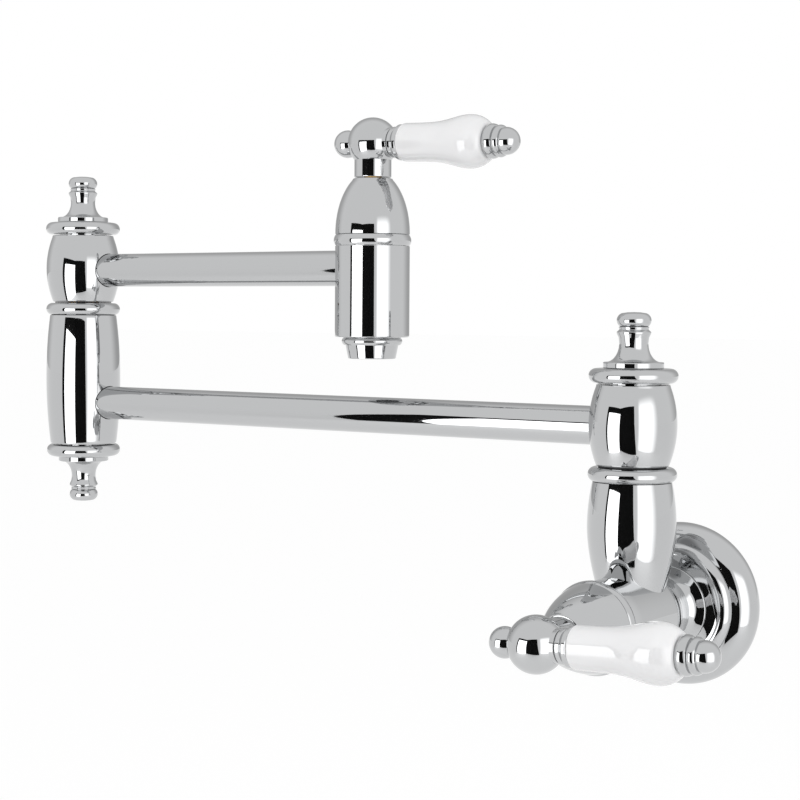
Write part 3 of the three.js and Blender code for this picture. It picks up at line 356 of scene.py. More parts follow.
shank = turned("inlet_shank_blank", Matrix.Identity(4), [
    (9.4, 2.6), (14, 2.6, 0.4), (14, 25.05, 0.2), (7.6, 25.05), (7.6, 34.05, 0.5), (5, 34.05, 0.3),
    (5, 22.6, 0.3), *curve(22.6, 2.75, 132, lambda z: 9.4),
], ring=True)
shank = grown("inlet_shank_threaded", thread_tree(), ON_WALL, shank, Bore=9.4, Depth=1.05,
              Pitch=1.814, End=20, Material=brass)
dress(shank, "wall_set", "inlet_shank")


# ------------------------------------------------------------------ wall flange
# A turned brass escutcheon of two rounded steps, polished and chromed. It slides on the shank,
# and a grub screw sunk in its underside holds it against the wall.
def lifted(height):
    """A step along the axis of a place, in mm."""
    return Matrix.Translation((0, 0, height))


def arc(radius, height, size, start, end, steps=16):
    """Profile points on a circular arc; angles in degrees, the rest in mm."""
    angles = [math.radians(start + (end - start) * i / steps) for i in range(steps + 1)]
    return [(radius + size * math.cos(a), height + size * math.sin(a)) for a in angles]


def drill(place, radius, low, high, facets=96):
    """A round cutter along the place's +z."""
    profile = [(0, low), (radius, low), (radius, high), (0, high)]
    return turned("cutter", place, profile, facets=facets)


def shaped(piece, tools, operation="DIFFERENCE"):
    """Cuts the tools from a piece, or joins them to it."""
    for tool in tools:
        step = piece.modifiers.new(tool.name, "BOOLEAN")
        step.operation = operation
        step.solver = "EXACT"
        step.object = tool
    depsgraph = bpy.context.evaluated_depsgraph_get()
    result = bpy.data.meshes.new_from_object(piece.evaluated_get(depsgraph))
    piece.modifiers.clear()
    piece.data = result
    result.name = piece.name
    for tool in tools:
        bpy.data.objects.remove(tool)
    return piece


def polished_chrome():
    """Bright chromium plate over buffed brass: a cool neutral mirror, broken only by the faint
    haze and hairlines that wiping leaves and the long low waves that the buffing wheel left."""
    material, tree, shader, place = new_material("polished_chrome_plate", "#bebfc0", 1, 0.03)
    haze = add(tree, "ShaderNodeTexNoise", {"Vector": place, "Scale": 1 / (22 * MM), "Detail": 4})
    # A hairline is about 0.1 mm wide and 1 mm long, drawn coarser than a real one so that it shows.
    lines = add(tree, "ShaderNodeMapping", {"Vector": place, "Scale": (9000, 900, 2400)})
    wiped = add(tree, "ShaderNodeTexNoise", {"Vector": lines, "Scale": 1, "Detail": 2})
    hairlines = add(tree, "ShaderNodeMapRange", {
        "Value": wiped, "From Min": 0.62, "From Max": 0.8, "To Min": 0, "To Max": 0.03,
    })
    base = add(tree, "ShaderNodeMapRange", {
        "Value": haze, "From Min": 0.35, "From Max": 0.75, "To Min": 0.015, "To Max": 0.045,
    })
    rough = add(tree, "ShaderNodeMath", (base, hairlines), operation="ADD")
    tree.links.new(rough.outputs[0], shader.inputs["Roughness"])
    waves = add(tree, "ShaderNodeTexNoise", {"Vector": place, "Scale": 1 / (9 * MM), "Detail": 1})
    surfaced(tree, shader, waves, 0.25, 0.02)
    return material


chrome = polished_chrome()


def chromed(piece, body, node):
    """Gives a finished piece its chrome and its body, and hides its CAD node."""
    dress(piece, body, node, chrome)


flange = turned("wall_flange_turned", ON_WALL, [
    (34.7, 0), (35.97, 0, 0.2),
    *arc(30.9, 8.6, 10.3, -53.6, 82, 48),
    *arc(26.9, 17.9, 5, 12, 100, 32),
    (20.8, 24.8, 0.3), (14.3, 24.9, 0.2), (14.3, 16.9),
    (18.8, 16.9), (25.6, 10.6), (28, 5.6), (28, 1.7), (34.7, 1.7),
], ring=True)
SCREW_AT = ON_WALL @ lifted(20.9) @ Matrix.Rotation(math.pi / 2, 4, "X")
shaped(flange, [drill(SCREW_AT, 2.3, 13, 34, 32)])
chromed(flange, "wall_set", "wall_flange")


# ------------------------------------------------------------------ valve body
# One brass casting, chromed: a waisted barrel along the valve axis and the riser's barrel standing
# on it, closed above by a bead. Bored for the shank, the cartridge and the swivel's post.
RISER_OUT = 65
RISER = Matrix.Translation((0, -RISER_OUT, 0))
RING_RADIUS, RING_HALF = 21.5, 3.55
RISER_RING, ELBOW_RING = 69.5, 147.1    # heights of the beads that the two swivels turn on
BODY_RADIUS, WAIST_RADIUS, SWELL = 21.4, 17.38, 4.02
WAIST_FOOT, WAIST_HEAD = 37, 57.6
RISER_WIDEST, RISER_RADIUS = 44, 21.5


def waist(z):
    """The barrel swells by half a wave from its slim foot to its full radius."""
    part = (z - WAIST_FOOT) / (WAIST_HEAD - WAIST_FOOT)
    return WAIST_RADIUS + SWELL * (0.5 - 0.5 * math.cos(math.pi * part))


def riser_side(z):
    """The riser's barrel tapers a little upwards, and more towards its foot."""
    if z > RISER_WIDEST:
        return RISER_RADIUS - 2.3 * ((z - RISER_WIDEST) / 21.95) ** 2
    return RISER_RADIUS - 6.1 * ((RISER_WIDEST - z) / 33.44) ** 1.7


def bead(middle):
    """The half-round edge of a ring."""
    return arc(RING_RADIUS - RING_HALF, middle, RING_HALF, -90, 90, 24)


body = turned("valve_body_cast", ON_WALL, [
    (0, 25.2), (20.8, 25.2, 0.3), (20.8, 26.2, 0.4),
    *arc(21.2, 35.8, 9, 248, 216, 16),
    *arc(15.79, 32.01, 2.4, 213, 105, 16),
    *arc(14.38, 37.2, 3, -75, -4, 12),
    *curve(37.4, WAIST_HEAD, 24, waist),
    *curve(60, 92, 16, lambda z: BODY_RADIUS),
    (BODY_RADIUS, 95.35), (21, 99.35, 0.3), (16.6, 99.35), (16.6, 107.5), (0, 107.5),
])
riser = turned("riser_cast", RISER, [
    (0, 10.56), *curve(10.56, 65.95, 64, riser_side), *bead(RISER_RING), (0, 73.05),
])
shaped(body, [riser], "UNION")
# The bores have other facet counts than the barrels, so that no corners meet.
shaped(body, [
    turned("stepped_bore", ON_WALL, [
        (0, 0), (7.9, 0), (7.9, 34.2), (5, 34.2), (5, 60), (9.9, 60), (9.9, 154), (0, 154),
    ], facets=112),
    turned("stepped_bore", RISER, [(0, 4.8), (6, 4.8), (6, 46.9), (9.6, 46.9), (9.6, 74), (0, 74)],
           facets=96),
])
chromed(body, "wall_set", "valve_body")


# ------------------------------------------------------------------ valve cartridges
# Two alike quarter-turn cartridges: a brass housing screwed into the body, a fixed and a moving
# ceramic disc, a brass stem and its rubber seals. They are the CAD's own pieces, deep inside.

# Fired alumina lapped flat: bone white with a silky, almost wet face and specks of grain.
ceramic = grained("lapped_ceramic", "#e6e2d6", 0, 0.2, 1.76, grain=(0.4, 3), strength=0.2,
                  depth=0.004, rough=(0.15, 0.28))


def finish_nodes(material, *names):
    """Gives CAD pieces that stay in view their finish."""
    for name in names:
        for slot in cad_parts[name].material_slots:
            slot.material = material


for valve in ("wall", "spout"):
    finish_nodes(brass, f"{valve}_cartridge", f"{valve}_stem")
    finish_nodes(ceramic, f"{valve}_fixed_disc", f"{valve}_moving_disc")
    finish_nodes(rubber, f"{valve}_seat_seal", f"{valve}_stem_seal")


# ------------------------------------------------------------------ bonnets
# Domed brass covers over the two cartridges, chromed, each with a bead at its foot and a hole for
# the stem at its tip. They screw down on the body's spigot.
LOWER_REACH, UPPER_REACH = 366, 208.6    # lengths of the arms, from axis to axis
UPPER_ARM_HEIGHT = 169.8
WALL_BALL = ON_WALL @ lifted(154)
ELBOW = Matrix.Translation((-LOWER_REACH, -RISER_OUT, 0))
UPPER_ARM = ELBOW @ lifted(UPPER_ARM_HEIGHT) @ Matrix.Rotation(math.radians(1), 4, "Z")
SPOUT = UPPER_ARM @ Matrix.Translation((UPPER_REACH, 0, 0))
SPOUT_BALL = SPOUT @ lifted(65.9)
WALL_SKIRT, SPOUT_SKIRT = 20.9, 18.3


def bonnet(name, ball, ball_out, bead_radius, side, dome_radius, dome_foot, dome_reach, skirt):
    """A bonnet whose foot is ball_out below the lever's ball and whose tip clears its skirt."""
    tip = ball_out - skirt - 0.4

    def dome(z):
        return dome_radius * math.sqrt(1 - ((z - dome_foot) / dome_reach) ** 2)

    def edge(z):
        return bead_radius - (bead_radius - side) * (z / 2.8) ** 2

    inside = curve(ball_out - 43.2, tip - 4, 6, lambda z: min(dome(z) - 2.3, 16.9))
    profile = [
        (16.9, -2.8), *curve(-2.8, 2.8, 12, edge), (side - 0.4, 2.95),
        *curve(3.2, tip - 1, 48, dome), (dome(tip - 1) - 0.4, tip - 0.3),
        (dome(tip - 1) - 1, tip), (4.85, tip), (4.85, tip - 3),
        (dome(tip - 4) - 3.3, tip - 3), *reversed(inside),
    ]
    return turned(name, ball @ lifted(-ball_out), profile, ring=True)


chromed(bonnet("wall_bonnet_turned", WALL_BALL, 51.7, 22.4, 21.4, 23.5, -19.8, 55.6, WALL_SKIRT),
        "wall_set", "wall_bonnet")
chromed(bonnet("spout_bonnet_turned", SPOUT_BALL, 51.3, 20.5, 19.6, 19.7, 3.6, 33.5, SPOUT_SKIRT),
        "upper_arm", "spout_bonnet")


# ------------------------------------------------------------------ swivel cores
# What each barrel turns on: a hollow brass post screwed into the ring below, two rubber rings in
# its grooves, black nylon washers under and over the barrel, and a steel nut on the post's end.
UPPER_ELBOW = UPPER_ARM @ lifted(-UPPER_ARM_HEIGHT)


def ground_steel():
    """Stainless steel, ground: a grey, slightly warm metal with a tight directional grain."""
    material, tree, shader, place = new_material("ground_stainless_steel", "#a8a9ab", 1, 0.26)
    # The grain lies level, 1.4 mm long and 0.24 mm wide.
    along = add(tree, "ShaderNodeMapping", {"Vector": place, "Scale": (700, 700, 4200)})
    grain = add(tree, "ShaderNodeTexNoise", {"Vector": along, "Scale": 1, "Detail": 3})
    surfaced(tree, shader, grain, 0.25, 0.006, rough=(0.18, 0.34))
    return material


steel = ground_steel()
# Glass-filled black nylon, moulded: dark, satin, with a fine 0.2 mm orange-peel skin.
nylon = grained("moulded_nylon", "#26262a", 0, 0.48, 1.53, grain=(0.2, 2), strength=0.3,
                depth=0.01, rough=(0.4, 0.58))
for prefix, place, ring, body_name in (
    ("riser", RISER, RISER_RING, "wall_set"), ("elbow", ELBOW, ELBOW_RING, "lower_arm"),
):
    finish_nodes(brass, f"{prefix}_post")
    finish_nodes(rubber, f"{prefix}_foot_seal", f"{prefix}_head_seal")
    finish_nodes(steel, f"{prefix}_nut")
    for washer, bore, outside, foot, height in (
        ("thrust_washer", 9.6, 16.4, ring + 3.7, 0.5),
        ("head_washer", 6.8, 11.8, ring + 36.525, 0.8),
    ):
        moulded = grown(f"{prefix}_{washer}_moulded", ring_of_square_section, place, Bore=bore,
                        Outside=outside, Foot=foot, Head=foot + height, Facets=128, Material=nylon)
        dress(moulded, body_name, f"{prefix}_{washer}")


# ------------------------------------------------------------------ swivel barrels
# Turned brass barrels, chromed, that turn on the two posts. Each has a side hole into which its arm
# tube is brazed, and is bored for the post's bearing lands and the water chamber between them.
TO_RIGHT = Matrix.Rotation(math.pi / 2, 4, "Y")
TO_LEFT = Matrix.Rotation(-math.pi / 2, 4, "Y")
LAND_BORE, CHAMBER_BORE = 9.55, 12.8
TUBE_HOLE, HOLE_STARTS = 9.825, 9.3    # radius of a tube's hole, and how far out its cut starts


def barrel(name, place, ring, side):
    """A barrel above the bead at height ring, with its tube's hole to a side."""
    foot, arm, head = ring + 4.35, ring + 22.7, ring + 43.35
    middle = ring + 23.7
    chamber_foot, chamber_head, land_head = arm - 10.125, arm + 10.125, arm + 13.525
    reach = middle - foot - 0.6

    def bulge(z):
        return 21.3 - 3.5 * ((z - middle) / reach) ** 2

    profile = [
        (LAND_BORE, foot), (17.2, foot), (17.6, foot + 0.15), (17.8, foot + 0.6),
        *curve(foot + 1, head - 1, 48, bulge),
        (17.8, head - 0.6), (17.6, head - 0.15), (17.2, head), (13.5, head), (13.5, land_head),
        (LAND_BORE, land_head), (LAND_BORE, chamber_head), (CHAMBER_BORE, chamber_head),
        (CHAMBER_BORE, chamber_foot), (LAND_BORE, chamber_foot),
    ]
    turned_barrel = turned(name, place, profile, ring=True)
    return shaped(turned_barrel, [drill(place @ lifted(arm) @ side, TUBE_HOLE, HOLE_STARTS, 44)])


chromed(barrel("riser_barrel_turned", RISER, RISER_RING, TO_LEFT), "lower_arm", "riser_barrel")
chromed(barrel("upper_barrel_turned", UPPER_ELBOW, ELBOW_RING, TO_RIGHT),
        "upper_arm", "upper_barrel")


# ------------------------------------------------------------------ elbow barrel
# The long turned and chromed barrel between the arms. The lower arm's tube is brazed into its side,
# the upper swivel's post screws into its top, and a bead closes it above.
LOWER_ARM = ELBOW @ lifted(92.2)


def elbow_side(z):
    """A long barrel, widest at the middle of its height."""
    return 21.7 - 2.4 * ((z - 105.65) / 37.9) ** 2


elbow = turned("elbow_barrel_turned", ELBOW, [
    (13.5, 67.75), (18.7, 67.75), (19.1, 67.9), (19.3, 68.35),
    *curve(68.8, 143.1, 64, elbow_side), (19.2, 143.45), *bead(ELBOW_RING),
    (9.6, 150.65), (9.6, 124.5), (CHAMBER_BORE, 122.5), (CHAMBER_BORE, 70.55), (13.5, 70.55),
], ring=True)
shaped(elbow, [drill(LOWER_ARM @ TO_RIGHT, TUBE_HOLE, HOLE_STARTS, 44)])
chromed(elbow, "lower_arm", "elbow_barrel")


# ------------------------------------------------------------------ cap rings and finials
# A round-edged brass ring screws into each free end of a column, and a turned finial stands on it
# by a stud: a disc, a flare, a slim neck with a lip, and a button. Both are chromed.
CAP_RING = [
    (0, -5.85), (13.2, -5.85, 0.2), (13.2, -3.55), *bead(0), (3.3, 3.55), (3.3, -1.75), (0, -1.75),
]
FLARE = [
    (7 + 6.4 * (1 + math.cos(a)), 6.6 + 8.9 * (1 + math.sin(a)))
    for a in (math.radians(270 - 90 * k / 20) for k in range(21))
]
FINIAL = [
    (0, -1.3), (3, -1.3), (3, 3.7), (14.6, 3.7, 0.4), (14.6, 6.6, 0.9), *FLARE,
    (7.3, 18.4), (8.2, 20.2), (8.3, 21, 0.3), (7, 22.2, 0.3), (7.4, 23.6, 0.3),
    *arc(4.6, 26.6, 3.7, -60, 70, 14), (3, 30.5), (0, 30.6),
]
UPSIDE_DOWN = Matrix.Rotation(math.pi, 4, "X")
for prefix, ring_node, end, body_name in (
    ("riser", "riser_cap_ring", RISER @ lifted(116.9), "lower_arm"),
    ("upper", "upper_cap_ring", UPPER_ELBOW @ lifted(194.5), "upper_arm"),
    ("elbow_foot", "elbow_foot_ring", ELBOW @ lifted(63.7) @ UPSIDE_DOWN, "lower_arm"),
):
    chromed(turned(f"{ring_node}_turned", end, CAP_RING), body_name, ring_node)
    chromed(turned(f"{prefix}_finial_turned", end, FINIAL), body_name, f"{prefix}_finial")


# ------------------------------------------------------------------ arm tubes
# Drawn 3/4 in brass tube with a 1.2 mm wall, polished and chromed, brazed into the barrels and the
# spout body at its ends.
TUBE_ENDS = 13.1    # how far from an axis a tube ends
for name, place, reach, body_name in (
    ("lower_arm_tube", LOWER_ARM, LOWER_REACH, "lower_arm"),
    ("upper_arm_tube", UPPER_ARM, UPPER_REACH, "upper_arm"),
):
    tube = grown(f"{name}_drawn", ring_of_square_section, place @ TO_RIGHT, Bore=8.325,
                 Outside=9.525, Foot=TUBE_ENDS, Head=reach - TUBE_ENDS, Facets=FINE,
                 Material=chrome)
    chromed(tube, body_name, name)


# ------------------------------------------------------------------ spout body
# A straight turned body, chromed, bored from above for its cartridge, with a water chamber where
# the arm tube enters and a threaded recess for the aerator below.
SPOUT_RADIUS = 19.75
spout = turned("spout_body_turned", SPOUT, [
    (11, -36.5), (SPOUT_RADIUS, -36.5, 0.7), *[(SPOUT_RADIUS, -35 + 1.9 * i) for i in range(24)],
    (SPOUT_RADIUS, 11.65, 0.3), (16.6, 11.65), (16.6, 19.4), (9.9, 19.4), (9.9, 10.125),
    (CHAMBER_BORE, 10.125), (CHAMBER_BORE, -21), (9.9, -21), (9.9, -28.1), (5.5, -28.1),
    (5.5, -30.5), (11, -30.5),
], ring=True)
shaped(spout, [drill(SPOUT @ TO_LEFT, TUBE_HOLE, HOLE_STARTS, 40)])
chromed(spout, "upper_arm", "spout_body")


# ------------------------------------------------------------------ aerator
# A chromed nozzle with a beaded ring, screwed into the spout's foot against a rubber gasket. Inside
# are a moulded insert and a screen woven from steel wire, held by the nozzle's lip.
nozzle = turned("aerator_nozzle_turned", SPOUT, [
    (7.6, -47.9, 0.2), (12.6, -47.9, 0.5), (14, -41.05), (14, -40.65),
    *curve(-40.65, -36.65, 12, lambda z: 16.1 - ((z + 38.65) / 2) ** 2), (10.7, -36.65),
    (10.7, -32.3), (8.8, -32.3), (8.8, -46.9), (7.6, -46.9),
], ring=True)
chromed(nozzle, "upper_arm", "aerator_nozzle")
insert = grown("aerator_insert_moulded", ring_of_square_section, SPOUT, Bore=3,
               Outside=8.5, Foot=-46, Head=-33.3, Facets=96, Material=nylon)
dress(insert, "upper_arm", "aerator_insert")
seal = grown("aerator_gasket_punched", ring_of_square_section, SPOUT, Bore=6.2,
             Outside=10.4, Foot=-32.15, Head=-30.65, Facets=96, Material=rubber)
dress(seal, "upper_arm", "aerator_gasket")


def quarter_arc(tree, share):
    """How far a circle of radius 1 reaches at a share of its radius."""
    square = add(tree, "ShaderNodeMath", (share, share), operation="MULTIPLY")
    rest = add(tree, "ShaderNodeMath", (1, square), operation="SUBTRACT")
    return add(tree, "ShaderNodeMath", [rest], operation="SQRT")


def screen_tree():
    """A round wire screen in plain weave. Wires lie a pitch apart and end on the rim's circle, and
    each goes over and under the wires that cross it; the second set is the first turned over."""
    tree, size = new_tree("woven_wire_screen", "Radius Pitch Wire")
    count = add(tree, "ShaderNodeMath", (size["Radius"], size["Pitch"]), operation="DIVIDE")
    half = add(tree, "ShaderNodeMath", [count], operation="FLOOR")
    wires = add(tree, "ShaderNodeMath", (half, 2, 1), operation="MULTIPLY_ADD")
    reach = add(tree, "ShaderNodeMath", (half, size["Pitch"]), operation="MULTIPLY")
    first = add(tree, "ShaderNodeMath", (reach, -1), operation="MULTIPLY")
    starts = add(tree, "GeometryNodeMeshLine", {
        "Count": wires, "Start Location": add(tree, "ShaderNodeCombineXYZ", {"Y": first}),
        "Offset": add(tree, "ShaderNodeCombineXYZ", {"Y": size["Pitch"]}),
    })
    back = add(tree, "ShaderNodeMath", (size["Radius"], -1), operation="MULTIPLY")
    wire = add(tree, "GeometryNodeCurvePrimitiveLine", {
        "Start": add(tree, "ShaderNodeCombineXYZ", {"X": back}),
        "End": add(tree, "ShaderNodeCombineXYZ", {"X": size["Radius"]}),
    })
    laid = add(tree, "GeometryNodeInstanceOnPoints", {"Points": starts, "Instance": wire})
    real = add(tree, "GeometryNodeRealizeInstances", [laid])
    steps = add(tree, "ShaderNodeMath", (wires, 6), operation="MULTIPLY")
    fine = add(tree, "GeometryNodeResampleCurve", {"Curve": real, "Count": steps})
    x, y, _ = position(tree)
    share = add(tree, "ShaderNodeMath", (y, size["Radius"]), operation="DIVIDE")
    across = add(tree, "ShaderNodeMath", (x, quarter_arc(tree, share)), operation="MULTIPLY")
    trimmed = add(tree, "GeometryNodeSetPosition", {
        "Geometry": fine, "Position": add(tree, "ShaderNodeCombineXYZ", {"X": across, "Y": y}),
    })
    turn = add(tree, "ShaderNodeMath", (math.pi, size["Pitch"]), operation="DIVIDE")
    waves = []
    for along in (x, y):
        angle = add(tree, "ShaderNodeMath", (along, turn), operation="MULTIPLY")
        waves.append(add(tree, "ShaderNodeMath", [angle], operation="COSINE"))
    weave = add(tree, "ShaderNodeMath", waves, operation="MULTIPLY")
    height = add(tree, "ShaderNodeMath", (weave, size["Wire"]), operation="MULTIPLY")
    woven = add(tree, "GeometryNodeSetPosition", {
        "Geometry": trimmed, "Offset": add(tree, "ShaderNodeCombineXYZ", {"Z": height}),
    })
    section = add(tree, "GeometryNodeCurvePrimitiveCircle", {
        "Resolution": 6, "Radius": size["Wire"],
    })
    drawn = add(tree, "GeometryNodeCurveToMesh", {
        "Curve": woven, "Profile Curve": section, "Fill Caps": True,
    })
    crossing = add(tree, "GeometryNodeTransform", {
        "Geometry": drawn, "Rotation": (math.pi, 0, math.pi / 2),
    })
    rim_path = add(tree, "GeometryNodeCurvePrimitiveCircle", {
        "Resolution": 96, "Radius": size["Radius"],
    })
    gauge = add(tree, "ShaderNodeMath", (size["Wire"], 2), operation="MULTIPLY")
    rim_section = add(tree, "GeometryNodeCurvePrimitiveCircle", {
        "Resolution": 10, "Radius": gauge,
    })
    rim = add(tree, "GeometryNodeCurveToMesh", {"Curve": rim_path, "Profile Curve": rim_section})
    joined = add(tree, "GeometryNodeJoinGeometry", {"Geometry": [drawn, crossing, rim]})
    return ended(tree, size, joined)


screen = grown("aerator_screen_woven", screen_tree(), SPOUT @ lifted(-46.45), Radius=8.2,
               Pitch=0.9, Wire=0.14, Material=steel)
dress(screen, "upper_arm", "aerator_screen")


# ------------------------------------------------------------------ lever hubs
# Each lever's hub is a chromed brass ball with a skirt that drops over the stem's splined end, a
# boss for the rod in front and a small round knob behind.
WALL_LEVER = WALL_BALL @ Matrix.Rotation(math.radians(2.75), 4, "Z")
WALL_ROD = WALL_LEVER @ TO_RIGHT
SPOUT_ROD = SPOUT_BALL @ Matrix.Rotation(math.pi / 2 + math.radians(1.9), 4, "Y")
WALL_GRUB = WALL_LEVER @ lifted(3.5 - WALL_SKIRT) @ TO_LEFT
SPOUT_GRUB = SPOUT_BALL @ lifted(3.5 - SPOUT_SKIRT) @ TO_LEFT
BALL_RADIUS, SKIRT_RADIUS, ROD_HOLE = 13.3, 9.75, 3.3
BOSS_RADIUS, BOSS_REACH = 7.8, 13
NECK_RADIUS, NECK_REACH, KNOB_RADIUS = 4.8, 16.2, 7.3


def hub(name, ball, skirt, rod, grub):
    """A hub. Its drills have other facet counts than what they cut, so that no corners meet."""
    meets = math.degrees(math.asin(SKIRT_RADIUS / BALL_RADIUS)) - 90
    back = ball @ TO_LEFT
    core = turned(name, ball, [
        (0, -skirt), (SKIRT_RADIUS, -skirt, 0.5),
        *curve(-skirt + 1.5, -9.8, 6, lambda z: SKIRT_RADIUS),
        *arc(0, 0, BALL_RADIUS, meets, 90, 64)[:-1], (0, BALL_RADIUS),
    ])
    shaped(core, [
        turned("boss", rod, [
            (0, 0), *curve(0.5, 12.4, 12, lambda z: BOSS_RADIUS), (BOSS_RADIUS, BOSS_REACH, 0.4),
            (0, BOSS_REACH),
        ], facets=100),
        turned("neck", back, [
            (0, 0), *curve(0.5, NECK_REACH, 12, lambda z: NECK_RADIUS), (0, NECK_REACH),
        ], facets=100),
        turned("knob", back @ lifted(NECK_REACH), [
            (0, -KNOB_RADIUS), *arc(0, 0, KNOB_RADIUS, -90, 90, 40)[1:-1], (0, KNOB_RADIUS),
        ], facets=100),
    ], "UNION")
    return shaped(core, [
        drill(ball, 4.9, -skirt - 1, -5.7, 90),
        drill(rod, ROD_HOLE, 4.7, 14, 84),
        drill(grub, 2.3, 4.6, 11, 30),
    ])


chromed(hub("wall_lever_hub_turned", WALL_LEVER, WALL_SKIRT, WALL_ROD, WALL_GRUB),
        "wall_lever", "wall_lever_hub")
chromed(hub("spout_lever_hub_turned", SPOUT_BALL, SPOUT_SKIRT, SPOUT_ROD, SPOUT_GRUB),
        "spout_lever", "spout_lever_hub")


# ------------------------------------------------------------------ lever handles
# A porcelain sleeve between a beaded collar and a beaded cap, both chromed, threaded on a steel rod
# that screws into the hub and pulls them together.
def glazed_porcelain():
    """Slip-cast porcelain under a clear fired glaze: a clean white body that light enters a
    little, and a wet gloss with soft low ripples where the glaze flowed and a rare pinhole."""
    material, tree, shader, place = new_material("glazed_porcelain", "#f3f3f4", 0, 0.05, ior=1.52)
    shader.inputs["Coat Weight"].default_value = 0.7
    shader.inputs["Coat Roughness"].default_value = 0.03
    shader.inputs["Coat IOR"].default_value = 1.5
    shader.inputs["Subsurface Weight"].default_value = 0.12
    shader.inputs["Subsurface Radius"].default_value = (1, 0.95, 0.9)
    shader.inputs["Subsurface Scale"].default_value = 1.5 * MM
    cloud = add(tree, "ShaderNodeTexNoise", {"Vector": place, "Scale": 1 / (16 * MM), "Detail": 3})
    tinted(tree, shader, cloud, "#f5f5f6", "#f0f0f1")
    ripple = add(tree, "ShaderNodeTexNoise", {"Vector": place, "Scale": 1 / (8 * MM), "Detail": 1})
    pits = add(tree, "ShaderNodeTexVoronoi", {
        "Vector": place, "Scale": 1 / (2.4 * MM), "Randomness": 1,
    })
    pit = add(tree, "ShaderNodeMapRange", {
        "Value": pits.outputs["Distance"], "From Min": 0.02, "From Max": 0.09, "To Min": -0.4,
        "To Max": 0,
    })
    relief = add(tree, "ShaderNodeMath", (ripple, pit), operation="ADD")
    surfaced(tree, shader, relief, 0.2, 0.03)
    return material


porcelain = glazed_porcelain()


NUMBER_A, NUMBER_B = 2, 3    # a Mix node's sockets for numbers


